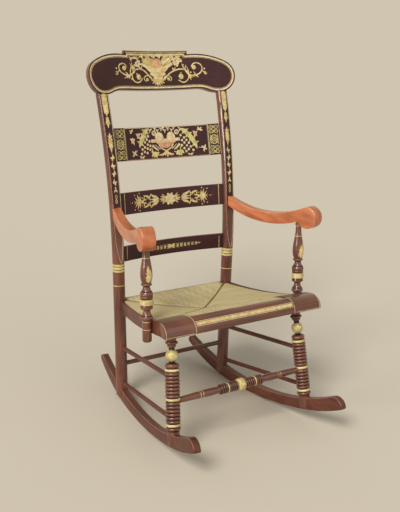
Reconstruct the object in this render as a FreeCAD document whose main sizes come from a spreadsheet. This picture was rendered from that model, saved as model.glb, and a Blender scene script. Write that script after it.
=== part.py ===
import FreeCAD, Part
import math
import os

# A rush-seated rocking chair in painted wood, modelled piece by piece as a chair maker would cut it.
# Millimetres, +Z up, the sitter faces -Y. Left and right are the sitter's: left is +X.
# Everything is laid out on a level seat frame whose floor is z = 0 and whose mirror plane is x = 0.
# The chair then leans back on its rockers by rest_lean, the angle at which it balances when empty.

V = FreeCAD.Vector
UP = V(0, 0, 1)
ACROSS = V(1, 0, 0)
BACK = V(0, 1, 0)

doc = FreeCAD.newDocument("rocking_chair")
sheet = doc.addObject("Spreadsheet::Sheet", "Sizes")

SIZES = {
    # the pose on the floor
    "rest_lean": 9,
    # rockers: distances run along the rocker from its low point, heights from the floor
    "rocker_low": -52, "rocker_spread": 225.1, "rocker_toe": 8, "rocker_thickness": 22,
    "rocker_radius": 1000, "rocker_nose_curve": 600, "rocker_tail_curve": 520, "rocker_mid_front": 148,
    "rocker_mid_rear": 165, "rocker_front": 293, "rocker_rear": 404, "rocker_depth": 32, "rocker_tail_depth": 24,
    "rocker_nose_radius": 32,
    # rear posts
    "post_radius": 18.8, "post_x": 198.8, "post_y": 186.8, "post_splay": 1.5, "post_rake": 1.58,
    "post_foot": 42, "post_bend": 468, "post_bend_radius": 1950, "post_top": 993,
    "post_flat": 11, "post_flat_start": 482, "post_flat_run": 60,
    # front legs, turned: heights run along the leg from the floor
    "leg_x": 252.4, "leg_y": -194, "leg_splay": 3.52, "leg_rake": 6.9, "leg_foot": 15,
    "leg_foot_radius": 16.5, "leg_ankle": 47, "leg_ankle_radius": 18.5, "leg_ring_start": 59,
    "leg_ring_end": 240, "leg_rings": 17, "leg_ring_radius": 21.4, "leg_groove_radius": 17.8,
    "leg_cap": 247, "leg_cap_radius": 20.6, "leg_cap_half": 7.5, "leg_neck": 8.6, "leg_ball": 275.5,
    "leg_ball_radius": 18.1, "leg_collar": 304, "leg_collar_radius": 13.2, "leg_collar_half": 4,
    "leg_bead": 313, "leg_bead_radius": 18.2, "leg_bead_half": 4.6, "leg_throat": 13,
    "leg_shoulder": 330, "leg_shoulder_radius": 15.6, "leg_top": 346, "leg_tenon": 10,
    "leg_tenon_length": 18,
    # stretchers: heights where they meet the leg and the post
    "stretcher_radius": 6.9, "stretcher_tenon": 14, "upper_front": 208, "upper_rear": 204,
    "lower_front": 89, "lower_rear": 84, "rear_stretcher_height": 145, "rear_stretcher_radius": 7.5,
    "front_stretcher_height": 141, "front_stretcher_end": 8.8, "front_stretcher_swell": 11.8,
    "front_stretcher_waist": 10.2, "front_stretcher_waist_run": 3, "front_stretcher_swell_run": 35,
    "front_stretcher_ball": 19.2, "front_stretcher_ball_neck": 11, "front_stretcher_ring": 15.4,
    "front_stretcher_groove": 12, "front_stretcher_rings": 8, "front_stretcher_ring_start": 15,
    "front_stretcher_ring_end": 79,
    # seat
    "roll_front": -209, "roll_back": -168, "roll_top": 381, "roll_bottom": 339, "roll_radius": 37,
    "roll_half_length": 289, "side_x": 213, "side_y": 168, "side_toe": 11.55,
    "block_rear": -98, "block_inner": 183, "block_rear_top": 364, "block_crown": 376.5,
    "block_drop": 8,
    "casing_thickness": 8, "casing_height": 35, "casing_rear_top": 361, "casing_dip_top": 355,
    "casing_dip_run": 108,
    "rail_width": 18, "rail_height": 20, "rear_rail_radius": 10, "side_rail_gap": 4, "rear_rail_y": 179,
    "rush_over_rail": 6, "rush_below_roll": 3, "rush_gap": 0.3,
    # arms: distances run forward from the post along the arm
    "arm_toe": 15.3, "arm_start": 10, "arm_rear_height": 653, "arm_rear_depth": 31,
    "arm_dip": 158, "arm_dip_top": 616.5, "arm_dip_depth": 34, "scroll_reach": 322,
    "scroll_height": 613.5, "scroll_radius": 34, "arm_width": 39, "arm_rear_width": 27,
    "arm_dowel": 5, "arm_dowel_length": 18, "arm_dowel_depth": 2,
    # arm supports, turned and upright
    "support_x": 282.3, "support_y": -104.3, "support_radius": 13.6, "support_foot": 308,
    "support_foot_ease": 3, "support_shaft_top": 372, "support_bell": 378.5, "support_bell_radius": 18.4,
    "support_waist": 398, "support_waist_radius": 10, "support_low_ring": 408.5,
    "support_high_ring": 440, "support_ring_radius": 18, "support_ring_half": 4,
    "support_band": 426, "support_band_radius": 19.3, "support_band_half": 7.5, "support_groove": 16.6,
    "support_crown": 448.5, "support_crown_radius": 19.3, "support_throat": 468, "support_flare": 477,
    "support_flare_radius": 15.8, "support_vase": 508, "support_vase_radius": 17.7,
    "support_vase_foot": 12.8, "support_vase_neck": 565, "support_vase_neck_radius": 9.6,
    "support_collar": 590, "support_collar_radius": 10.6, "support_collar_half": 3.5,
    "support_stem": 8.5, "support_top": 599, "support_tenon": 7.5, "support_tenon_length": 12,
    # back slats: the height of each slat's middle, and its width
    "slat_radius": 820, "slat_thickness": 8.5, "slat_tenon": 12, "slat_round": 2,
    "upper_slat_height": 840, "upper_slat_width": 102,
    "middle_slat_height": 659.5, "middle_slat_width": 69,
    "lower_slat_height": 503.5, "lower_slat_width": 49,
    # crest: heights run up its face from the top of the posts
    "crest_radius": 800, "crest_thickness": 17, "crest_spare": 5,
    "crest_lobe_x": 219, "crest_lobe_height": 50, "crest_lobe_radius": 54,
    "crest_shoulder": 126, "crest_shoulder_radius": 207, "crest_shoulder_x": 140,
    "crest_underside": 13, "crest_underside_x": 141, "tablet_half_width": 114, "tablet_height": 132,
    "tablet_bead": 5.5, "crest_dowel": 6, "crest_dowel_length": 30,
    # pegs, screws and brads
    "peg_radius": 3.2, "rocker_peg_reach": 18, "front_peg_height": 32, "rear_peg_height": 58,
    "support_peg_length": 42, "support_peg_rise": 8, "brad_radius": 1.1, "brad_bite": 8, "brads": 3,
}
for row, (alias, number) in enumerate(SIZES.items(), start=1):
    sheet.set("A%d" % row, alias)
    sheet.set("B%d" % row, str(number))
    sheet.setAlias("B%d" % row, alias)
doc.recompute()


class Size:
    """The numbers of the sheet, by name."""

    def __getattr__(self, alias):
        return float(sheet.get(alias))


size = Size()


def turn(axis, degrees):
    return FreeCAD.Rotation(axis, degrees)


def place(base, rotation=None):
    return FreeCAD.Placement(base, rotation or FreeCAD.Rotation())


def bind(thing, **sizes):
    """Ties each property of a feature to an expression on the sheet."""
    for name, expression in sizes.items():
        thing.setExpression(name, expression)


# Outlines. A path is a start point followed by points, for straight runs, and pairs of points, for arcs
# that pass through the first and end at the second.

def outline(start, *steps):
    edges = []
    here = V(*start)
    for step in steps:
        if isinstance(step[0], tuple):
            middle = V(*step[0])
            end = V(*step[1])
            edges.append(Part.Arc(here, middle, end))
        else:
            end = V(*step)
            edges.append(Part.LineSegment(here, end))
        here = end
    return edges


def flat(points):
    """Points of an outline given as (across, up) pairs, closed back to the first."""
    return outline(*[tuple(p) + (0,) for p in points + points[:1]])


def new_body(label):
    body = doc.addObject("PartDesign::Body", label)
    body.Label = label
    return body


def sketch_on(body, plane, edges, label):
    """A sketch on one of the body's own origin planes: XY, XZ or YZ."""
    sketch = body.newObject("Sketcher::SketchObject", label)
    support = [f for f in body.Origin.OriginFeatures if f.Role == plane + "_Plane"][0]
    sketch.AttachmentSupport = (support, [""])
    sketch.MapMode = "FlatFace"
    for edge in edges:
        sketch.addGeometry(edge, False)
    return sketch


def padded(label, plane, edges, thickness, placement):
    """A board: its outline padded to both sides of the sketch by half of its thickness."""
    body = new_body(label)
    sketch = sketch_on(body, plane, edges, label + "_outline")
    pad = body.newObject("PartDesign::Pad", label + "_pad")
    pad.Profile = sketch
    pad.Midplane = True
    bind(pad, Length=thickness)
    body.Placement = placement
    return body


def turned(label, profile, placement):
    """A lathe-turned piece: (height, radius) pairs up the axis, each pair joined straight to the next."""
    foot = profile[0][0]
    head = profile[-1][0]
    points = [(0, foot)] + [(radius, height) for height, radius in profile] + [(0, head)]
    body = new_body(label)
    sketch = sketch_on(body, "XZ", flat(points), label + "_profile")
    revolution = body.newObject("PartDesign::Revolution", label + "_turning")
    revolution.Profile = sketch
    revolution.ReferenceAxis = (sketch, ["V_Axis"])
    revolution.Angle = 360
    body.Placement = placement
    return body


def cut(label, base, *tools):
    """The base with seats for the pieces that it holds."""
    result = doc.addObject("Part::Cut", label)
    result.Label = label
    result.Base = base
    result.Tool = tools[0] if len(tools) == 1 else together(label + "_seats", *tools)
    return result


def together(label, *shapes):
    fused = doc.addObject("Part::MultiFuse", label)
    fused.Shapes = list(shapes)
    return fused


def common(label, first, second):
    result = doc.addObject("Part::Common", label)
    result.Label = label
    result.Base = first
    result.Tool = second
    return result


def mirrored(label, source):
    """The same piece for the other side of the chair."""
    mirror = doc.addObject("Part::Mirroring", label)
    mirror.Label = label
    mirror.Source = source
    mirror.Normal = ACROSS
    return mirror


def rod(label, start, end, radius):
    """A plain round rod between two points of the chair."""
    cylinder = doc.addObject("Part::Cylinder", label)
    cylinder.Label = label
    bind(cylinder, Radius=radius)
    cylinder.Height = (end - start).Length
    cylinder.Placement = place(start, FreeCAD.Rotation(UP, end - start))
    return cylinder


# The rocker's lower edge: a long middle arc about the low point, with tighter arcs tangent to its ends.

def middle_angle(run):
    return math.asin(run / size.rocker_radius)


def lower_edge(run, middle_run, end_radius):
    """Height of the lower edge at a distance from the low point, on the side whose middle arc ends there."""
    if run <= middle_run:
        return size.rocker_radius * (1 - math.cos(middle_angle(run)))
    start = middle_angle(middle_run)
    finish = math.asin(math.sin(start) + (run - middle_run) / end_radius)
    return size.rocker_radius * (1 - math.cos(start)) + end_radius * (math.cos(start) - math.cos(finish))


def lower_point(run):
    """A point of the lower edge, as (along, up); forward runs are negative."""
    if run < 0:
        height = lower_edge(-run, size.rocker_mid_front, size.rocker_nose_curve)
    else:
        height = lower_edge(run, size.rocker_mid_rear, size.rocker_tail_curve)
    return (size.rocker_low + run, height)


# Where the rear posts' axes run: straight below the bend and in one long arc above it.

def post_axis(height):
    """How far the post's axis stands behind its own foot line, and its slope, at a height."""
    if height <= size.post_bend:
        return 0, 0
    angle = math.asin((height - size.post_bend) / size.post_bend_radius)
    return size.post_bend_radius * (1 - math.cos(angle)), angle


def post_frame(height):
    """The place and slope of the left post's axis at a height, in the level chair."""
    setback, angle = post_axis(height)
    splay = turn(BACK, size.post_splay)
    rake = turn(ACROSS, size.post_rake)
    base = V(size.post_x, size.post_y, 0) + splay.multVec(rake.multVec(V(0, setback, height)))
    return base, math.degrees(angle) - size.post_rake


# The rest pose turns the level chair about the centre of the rockers' middle arc, so it stays on the floor,
# and then centres it front to back between the rockers' noses and the top of the crest. The crest stands on
# the tops of the posts.

toe_shrink = math.cos(math.radians(size.rocker_toe))
nose_tip = lower_point(-size.rocker_front)
tail_tip = lower_point(size.rocker_rear)
pivot = V(0, size.rocker_low * toe_shrink, size.rocker_radius * toe_shrink ** 2)
lean = turn(ACROSS, -size.rest_lean)


def leaned(point):
    return pivot + lean.multVec(point - pivot)


front_reach = leaned(V(0, (nose_tip[0] + size.rocker_nose_radius) * toe_shrink, nose_tip[1])).y
front_reach -= size.rocker_nose_radius * toe_shrink
tail_half = size.rocker_tail_depth / 2
crest_base, crest_slope = post_frame(size.post_top)
crest_sag = size.crest_radius - math.sqrt(size.crest_radius ** 2 - crest_base.x ** 2)
crest_top = V(0, crest_sag + size.crest_thickness / 2, size.tablet_height)
rear_reach = leaned(V(0, crest_base.y, crest_base.z) + turn(ACROSS, -crest_slope).multVec(crest_top)).y
centring = V(0, -(front_reach + rear_reach) / 2, 0)
rest = place(pivot - lean.multVec(pivot) + centring, lean)


def at(base, *rotations):
    """A place in the level chair, carried into the rest pose."""
    total = FreeCAD.Rotation()
    for rotation in rotations:
        total = total.multiply(rotation)
    return rest.multiply(place(base, total))


def spot(x, y, z):
    """A point of the level chair, carried into the rest pose."""
    return rest.multVec(V(x, y, z))


# Rockers

def rocker_outline():
    nose_radius = size.rocker_nose_radius
    centre = (nose_tip[0] + nose_radius, nose_tip[1])
    low = size.rocker_low
    depth = size.rocker_depth
    run = low - centre[0]
    drop = depth - centre[1]
    front_radius = (run * run + drop * drop - nose_radius ** 2) / (2 * (nose_radius - drop))
    share = front_radius / (front_radius + nose_radius)
    front_top = depth + front_radius
    join = (low + (centre[0] - low) * share, front_top + (centre[1] - front_top) * share)
    front_middle = arc_middle((low, front_top), front_radius, (low, depth), join)
    nose_middle = arc_middle(centre, nose_radius, join, nose_tip)
    tail_start = lower_point(size.rocker_rear - tail_half)
    slope = math.asin(math.sin(middle_angle(size.rocker_mid_rear))
                      + (size.rocker_rear - tail_half - size.rocker_mid_rear) / size.rocker_tail_curve)
    normal = (-math.sin(slope), math.cos(slope))
    tail_top = tuple(tail_start[i] + 2 * tail_half * normal[i] for i in (0, 1))
    tail_out = (tail_start[0] + tail_half * (normal[0] + normal[1]),
                tail_start[1] + tail_half * (normal[1] - normal[0]))
    run = tail_top[0] - low
    rise = tail_top[1] - depth
    rear_radius = (run * run + rise * rise) / (2 * rise)
    rear_middle = arc_middle((low, depth + rear_radius), rear_radius, (low, depth), tail_top)
    front_join = lower_point(-size.rocker_mid_front)
    rear_join = lower_point(size.rocker_mid_rear)
    front_end_middle = lower_point(-(size.rocker_mid_front + size.rocker_front) / 2)
    rear_end_middle = lower_point((size.rocker_mid_rear + size.rocker_rear - tail_half) / 2)

    def lifted(point):
        return tuple(point) + (0,)

    return outline(lifted(nose_tip),
                   (lifted(front_end_middle), lifted(front_join)),
                   (lifted(lower_point(0)), lifted(rear_join)),
                   (lifted(rear_end_middle), lifted(tail_start)),
                   (lifted(tail_out), lifted(tail_top)),
                   (lifted(rear_middle), (low, depth, 0)),
                   (lifted(front_middle), lifted(join)),
                   (lifted(nose_middle), lifted(nose_tip)))


def arc_middle(centre, radius, start, end):
    """The point half way along the short arc of a circle between two of its points."""
    across = (start[0] + end[0]) / 2 - centre[0]
    up = (start[1] + end[1]) / 2 - centre[1]
    length = math.hypot(across, up)
    return (centre[0] + across / length * radius, centre[1] + up / length * radius)


# A sketch on a body's YZ plane has its first axis along the body's Y and its second along Z.
rocker_left = padded("rocker_left", "YZ", rocker_outline(), "Sizes.rocker_thickness",
                     at(V(size.rocker_spread, 0, 0), turn(UP, size.rocker_toe)))

# Rear posts: straight and round below, bent back in one long arc above the gold bands, with the front
# face shaved flat from there up. The post is drawn in its own upright plane and then splayed.

def post_side(offset, height):
    """A point beside the post's axis, as (back, up), in the post's own plane."""
    setback, angle = post_axis(height)
    return (setback + offset * math.cos(angle), height - offset * math.sin(angle))


def make_post():
    body = new_body("back_post_blank")
    round_end = sketch_on(body, "XY", [Part.Circle(V(0, 0, 0), UP, size.post_radius)], "back_post_section")
    round_end.AttachmentOffset = place(V(0, 0, size.post_foot))
    shaft = body.newObject("PartDesign::Pad", "back_post_shaft")
    shaft.Profile = round_end
    bind(shaft, Length="Sizes.post_bend - Sizes.post_foot")
    bend = sketch_on(body, "XY", [Part.Circle(V(0, -size.post_bend_radius, 0), UP, size.post_radius)],
                     "back_post_bend_section")
    bend.AttachmentOffset = place(V(0, size.post_bend_radius, size.post_bend))
    sweep = body.newObject("PartDesign::Revolution", "back_post_bend_sweep")
    sweep.Profile = bend
    sweep.ReferenceAxis = (bend, ["H_Axis"])
    sweep.Angle = math.degrees(post_axis(size.post_top)[1])
    sweep.Reversed = True
    front = 2 * size.post_radius
    flat_begin = size.post_flat_start + size.post_flat_run
    flat_middle = post_side(-size.post_flat, (flat_begin + size.post_top) / 2)
    flat_end = post_side(-size.post_flat, size.post_top + size.post_radius)
    flat_sketch = sketch_on(body, "YZ", [], "back_post_flat_outline")
    start = post_side(-size.post_radius, size.post_flat_start)
    begin = post_side(-size.post_flat, flat_begin)
    for edge in outline((start[0] - front, start[1], 0), start + (0,), begin + (0,),
                        (flat_middle + (0,), flat_end + (0,)),
                        (start[0] - front, flat_end[1], 0), (start[0] - front, start[1], 0)):
        flat_sketch.addGeometry(edge, False)
    pocket = body.newObject("PartDesign::Pocket", "back_post_flat")
    pocket.Profile = flat_sketch
    pocket.Midplane = True
    bind(pocket, Length="Sizes.post_radius * 4")
    body.Placement = at(V(size.post_x, size.post_y, 0), turn(BACK, size.post_splay),
                        turn(ACROSS, size.post_rake))
    return body


post_blank = make_post()

# Front legs

def leg_profile():
    """Foot, a stack of turned rings, a cap, a ball, a collar, a bead and the flared top below the seat."""
    steps = [(size.leg_foot, size.leg_foot_radius), (size.leg_ankle, size.leg_ankle_radius)]
    steps += ring_stack(size.leg_ring_start, size.leg_ring_end, size.leg_rings, size.leg_ring_radius,
                        size.leg_groove_radius)
    steps += bead(size.leg_cap, size.leg_cap_radius, size.leg_neck, size.leg_cap_half)[1:]
    steps += ball(size.leg_ball, size.leg_ball_radius, size.leg_neck)
    steps += bead(size.leg_collar, size.leg_collar_radius, size.leg_neck, size.leg_collar_half)[:-1]
    steps += bead(size.leg_bead, size.leg_bead_radius, size.leg_throat, size.leg_bead_half)[1:]
    steps += [(size.leg_shoulder, size.leg_shoulder_radius), (size.leg_top, size.leg_shoulder_radius),
              (size.leg_top, size.leg_tenon), (size.leg_top + size.leg_tenon_length, size.leg_tenon)]
    return steps


def ring_stack(start, end, count, radius, groove):
    """Rings in a row: each rises from a groove, runs level over its crown and falls to the next groove."""
    pitch = (end - start) / count
    steps = []
    for ring in range(int(count)):
        base = start + ring * pitch
        steps += [(base, groove), (base + pitch * 0.28, radius), (base + pitch * 0.72, radius)]
    return steps + [(end, groove)]


def ball(height, radius, neck):
    """Half a ball's outline in eight steps, from one neck to the other."""
    reach = math.degrees(math.acos(neck / radius))
    angles = [math.radians(reach * (i / 4 - 1)) for i in range(9)]
    return [(height + radius * math.sin(a), radius * math.cos(a)) for a in angles]


def bead(height, radius, neck, half_width):
    """A rounded bead: neck, shoulder, crown, shoulder, neck."""
    shoulder = neck + (radius - neck) * 0.75
    return [(height - half_width, neck), (height - half_width * 0.75, shoulder),
            (height - half_width * 0.35, radius), (height + half_width * 0.35, radius),
            (height + half_width * 0.75, shoulder), (height + half_width, neck)]


leg_blank = turned("front_leg_blank", leg_profile(),
                   at(V(size.leg_x, size.leg_y, 0), turn(BACK, -size.leg_splay),
                      turn(ACROSS, -size.leg_rake)))


def leg_axis(height):
    """A point of the left leg's axis at a height above the floor."""
    splay = turn(BACK, -size.leg_splay)
    rake = turn(ACROSS, -size.leg_rake)
    direction = splay.multVec(rake.multVec(UP))
    return V(size.leg_x, size.leg_y, 0) + direction * (height / direction.z)


def post_point(height):
    return post_frame(height)[0]


# Stretchers

def between(label, first, second, radius):
    """A round stretcher between two axes, with a tenon in each."""
    along = (second - first).normalize()
    short = size.post_radius - size.stretcher_tenon
    start = first + along * short
    end = second - along * short
    return rod(label, rest.multVec(start), rest.multVec(end), radius)


upper_stretcher = between("side_stretcher_upper_left", leg_axis(size.upper_front),
                          post_point(size.upper_rear), "Sizes.stretcher_radius")
lower_stretcher = between("side_stretcher_lower_left", leg_axis(size.lower_front),
                          post_point(size.lower_rear), "Sizes.stretcher_radius")
rear_end = post_point(size.rear_stretcher_height)
rear_stretcher = between("rear_stretcher", V(-rear_end.x, rear_end.y, rear_end.z), rear_end,
                         "Sizes.rear_stretcher_radius")


def front_stretcher_profile():
    """Half of the front stretcher, from its middle ball out to the tenon, mirrored about the middle."""
    reach = leg_axis(size.front_stretcher_height).x
    end = reach - (size.leg_ring_radius - size.stretcher_tenon)
    ball_half = size.front_stretcher_ring_start - 1
    stack_end = size.front_stretcher_ring_end
    half = bead(0, size.front_stretcher_ball, size.front_stretcher_ball_neck, ball_half)[3:]
    half += ring_stack(size.front_stretcher_ring_start, stack_end, size.front_stretcher_rings,
                       size.front_stretcher_ring, size.front_stretcher_groove)
    half += [(stack_end + size.front_stretcher_waist_run, size.front_stretcher_waist),
             (stack_end + size.front_stretcher_swell_run, size.front_stretcher_swell),
             (reach - size.leg_ring_radius, size.front_stretcher_end), (end, size.front_stretcher_end)]
    return [(-height, radius) for height, radius in reversed(half)] + half


front_end = leg_axis(size.front_stretcher_height)
front_stretcher = turned("front_stretcher", front_stretcher_profile(),
                         at(V(0, front_end.y, front_end.z), turn(BACK, 90)))

# Seat. Each side follows a line that runs inward to the back; runs along it start at its rear corner.

side_turn = turn(UP, 180 + size.side_toe)
side_corner = V(size.side_x, size.side_y, 0)
side_cos = math.cos(math.radians(size.side_toe))


def side_run(y):
    """The run along the seat's side that reaches a given y."""
    return (size.side_y - y) / side_cos


def side_place(inward):
    """A board's place along the left side; its own Y runs forward and its middle lies inward of the line."""
    direction = turn(UP, size.side_toe).multVec(ACROSS)
    return at(side_corner - direction * inward, side_turn)


# The front roll is a quarter-round nosing: a level top, a round down to the front and a short upright lip.
roll_nose = size.roll_front + size.roll_radius
roll_lip = size.roll_top - size.roll_radius
roll_round = (roll_nose - size.roll_radius * math.sqrt(0.5), roll_lip + size.roll_radius * math.sqrt(0.5))
front_roll_blank = padded("front_roll_blank", "YZ",
                          outline((size.roll_back, size.roll_bottom, 0), (size.roll_back, size.roll_top, 0),
                                  (roll_nose, size.roll_top, 0),
                                  (roll_round + (0,), (size.roll_front, roll_lip, 0)),
                                  (size.roll_front, size.roll_bottom, 0),
                                  (size.roll_back, size.roll_bottom, 0)),
                          "Sizes.roll_half_length * 2", at(V(0, 0, 0)))
roll_back_half = size.side_x + (size.side_y - size.roll_back) * math.tan(math.radians(size.side_toe))
roll_plan = padded("front_roll_plan", "XY",
                   flat([(-size.roll_half_length, size.roll_front - 1),
                         (size.roll_half_length, size.roll_front - 1),
                         (roll_back_half, size.roll_back), (-roll_back_half, size.roll_back)]),
                   "Sizes.roll_radius * 3", at(V(0, 0, size.roll_bottom)))
front_roll = common("front_roll", front_roll_blank, roll_plan)

# Corner blocks close the seat behind the roll; their tops fall from the roll to the casing.

block_middle = (size.block_rear + size.roll_back) / 2
block_profile = padded("corner_block_profile", "YZ",
                       outline((size.roll_back, size.roll_bottom, 0), (size.roll_back, size.roll_top, 0),
                               ((block_middle, size.block_crown, 0),
                                (size.block_rear, size.block_rear_top, 0)),
                               (size.block_rear, size.roll_bottom - size.block_drop, 0), (size.roll_back, size.roll_bottom, 0)),
                       "Sizes.roll_half_length * 2", at(V(0, 0, 0)))


def side_line_x(y, inward=0):
    return size.side_x - inward + (size.side_y - y) * math.tan(math.radians(size.side_toe))


block_plan = padded("corner_block_plan", "XY",
                    flat([(size.block_inner, size.roll_back), (side_line_x(size.roll_back), size.roll_back),
                          (side_line_x(size.block_rear), size.block_rear),
                          (size.block_inner, size.block_rear)]),
                    "Sizes.roll_radius * 4", at(V(0, 0, size.roll_bottom)))
corner_block_blank = common("corner_block_blank", block_profile, block_plan)

# Side casings and side rails share one saddle curve: level at the post, dipping, rising to the block.

block_run = side_run(size.block_rear)


def saddle(lowering, height, start, end):
    """A band that follows the saddle curve: its top is lowered by one size and it is as deep as another."""
    rear = size.casing_rear_top - lowering
    dip = size.casing_dip_top - lowering
    front = size.block_rear_top - lowering
    lowest = size.casing_dip_run
    return outline((start, rear, 0), ((lowest, dip, 0), (end, front, 0)), (end, front - height, 0),
                   ((lowest, dip - height, 0), (start, rear - height, 0)), (start, rear, 0))


casing_place = side_place(size.casing_thickness / 2)
casing_blank = padded("side_casing_blank", "YZ",
                      saddle(0, size.casing_height, 0, block_run),
                      "Sizes.casing_thickness", casing_place)
rail_inward = size.casing_thickness + size.side_rail_gap + size.rail_width / 2
side_rail = padded("seat_rail_blank", "YZ",
                   saddle(size.rush_over_rail, size.rail_height, 0, block_run),
                   "Sizes.rail_width", side_place(rail_inward))

# The front rail lies behind the roll and the rear rail between the posts; the rush is woven round both.

front_rail_top = size.roll_top - size.rush_below_roll - 2 * size.rush_over_rail
front_rail = padded("front_rail", "YZ",
                    flat([(size.roll_back, front_rail_top - size.rail_height), (size.roll_back, front_rail_top),
                          (size.roll_back + size.rail_width, front_rail_top),
                          (size.roll_back + size.rail_width, front_rail_top - size.rail_height)]),
                    "Sizes.block_inner * 2", at(V(0, 0, 0)))
rear_rail_height = size.casing_rear_top - size.rush_over_rail - size.rear_rail_radius
rear_rail_reach = post_point(rear_rail_height).x - size.post_radius + size.stretcher_tenon
rear_rail = rod("rear_rail", spot(-rear_rail_reach, size.rear_rail_y, rear_rail_height),
                spot(rear_rail_reach, size.rear_rail_y, rear_rail_height), "Sizes.rear_rail_radius")

# The rush: a saddle-shaped pad from the roll to round the rear rail, as wide as the side casings allow,
# with hollows for the rails, the posts and the corner blocks.

rush_rear = size.rear_rail_y + size.rear_rail_radius
rush_rear_top = size.casing_rear_top
rush_front_top = size.roll_top - size.rush_below_roll
rush_dip_y = size.side_y - size.casing_dip_run * side_cos
rush_thickness = 2 * size.rear_rail_radius + 2 * size.rush_over_rail
rush_profile = padded("rush_profile", "YZ",
                      outline((size.roll_back, rush_front_top - rush_thickness, 0),
                              (size.roll_back, rush_front_top, 0),
                              ((rush_dip_y, size.casing_dip_top, 0), (rush_rear, rush_rear_top, 0)),
                              ((rush_rear + size.rush_over_rail, rush_rear_top - rush_thickness / 2, 0),
                               (rush_rear, rush_rear_top - rush_thickness, 0)),
                              ((rush_dip_y, size.casing_dip_top - rush_thickness, 0),
                               (size.roll_back, rush_front_top - rush_thickness, 0))),
                      "Sizes.roll_half_length * 2", at(V(0, 0, 0)))
rush_inward = size.casing_thickness / side_cos + size.rush_gap
rush_front_x = side_line_x(size.block_rear, rush_inward)
rush_rear_x = post_point(size.casing_rear_top).x
rush_plan = padded("rush_plan", "XY",
                   flat([(-size.block_inner + size.rush_gap, size.roll_back),
                         (size.block_inner - size.rush_gap, size.roll_back),
                         (size.block_inner - size.rush_gap, size.block_rear + size.rush_gap),
                         (rush_front_x, size.block_rear + size.rush_gap),
                         (side_line_x(size.side_y, rush_inward), size.side_y),
                         (rush_rear_x, size.side_y),
                         (rush_rear_x, rush_rear + size.rush_over_rail * 2),
                         (-rush_rear_x, rush_rear + size.rush_over_rail * 2),
                         (-rush_rear_x, size.side_y),
                         (-side_line_x(size.side_y, rush_inward), size.side_y),
                         (-rush_front_x, size.block_rear + size.rush_gap),
                         (-size.block_inner + size.rush_gap, size.block_rear + size.rush_gap)]),
                   "Sizes.roll_radius * 4", at(V(0, 0, size.roll_bottom)))
rush_blank = common("rush_blank", rush_profile, rush_plan)

# Brads hold each casing to its side rail.

side_forward = turn(UP, size.side_toe).multVec(-BACK)
side_outward = turn(UP, size.side_toe).multVec(ACROSS)
brad_length = size.casing_thickness + size.side_rail_gap + size.brad_bite
brads = []
for number in range(int(size.brads)):
    run = size.casing_dip_run * (0.5 + number * 0.75)
    outer = side_corner + side_forward * run + UP * (size.casing_dip_top - size.casing_height / 2)
    brads.append(rod("casing_brad_%d" % (number + 1), rest.multVec(outer),
                     rest.multVec(outer - side_outward * brad_length), "Sizes.brad_radius"))
brads_left = together("casing_brads_left", *brads)

# Arms: an S-curved board that ends in a scroll, tapered in plan towards the post.

arm_turn = turn(UP, 180 + size.arm_toe)
arm_base = post_point(size.arm_rear_height - size.arm_rear_depth / 2)
arm_base.z = 0
scroll_centre = (size.scroll_reach, size.scroll_height)


def scroll_point(degrees):
    angle = math.radians(degrees)
    return (scroll_centre[0] + size.scroll_radius * math.cos(angle),
            scroll_centre[1] + size.scroll_radius * math.sin(angle), 0)


arm_outline = outline((size.arm_start, size.arm_rear_height - size.arm_rear_depth, 0),
                      (size.arm_start, size.arm_rear_height, 0),
                      ((size.arm_dip, size.arm_dip_top, 0), scroll_point(111)),
                      (scroll_point(0), scroll_point(205)),
                      ((size.arm_dip, size.arm_dip_top - size.arm_dip_depth, 0),
                       (size.arm_start, size.arm_rear_height - size.arm_rear_depth, 0)))
arm_profile = padded("arm_profile", "YZ", arm_outline, "Sizes.arm_width * 2", at(arm_base, arm_turn))
arm_end = size.scroll_reach + size.scroll_radius
arm_plan = padded("arm_plan", "XY",
                  flat([(-size.arm_rear_width / 2, 0), (size.arm_rear_width / 2, 0),
                        (size.arm_width / 2, size.scroll_reach - size.scroll_radius),
                        (size.arm_width / 2, arm_end + 1), (-size.arm_width / 2, arm_end + 1),
                        (-size.arm_width / 2, size.scroll_reach - size.scroll_radius)]),
                  "Sizes.scroll_radius * 8", at(arm_base + UP * size.scroll_height, arm_turn))
arm_blank = common("arm_blank", arm_profile, arm_plan)


arm_forward = arm_turn.multVec(BACK)
dowel_height = size.arm_rear_height - size.arm_rear_depth / 2
dowel_middle = arm_base + arm_forward * (size.post_flat + size.arm_dowel_depth) + UP * dowel_height
dowel_half = arm_forward * (size.arm_dowel_length / 2)
arm_dowel = rod("arm_dowel_left", rest.multVec(dowel_middle - dowel_half),
                rest.multVec(dowel_middle + dowel_half), "Sizes.arm_dowel")

# Arm supports


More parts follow.
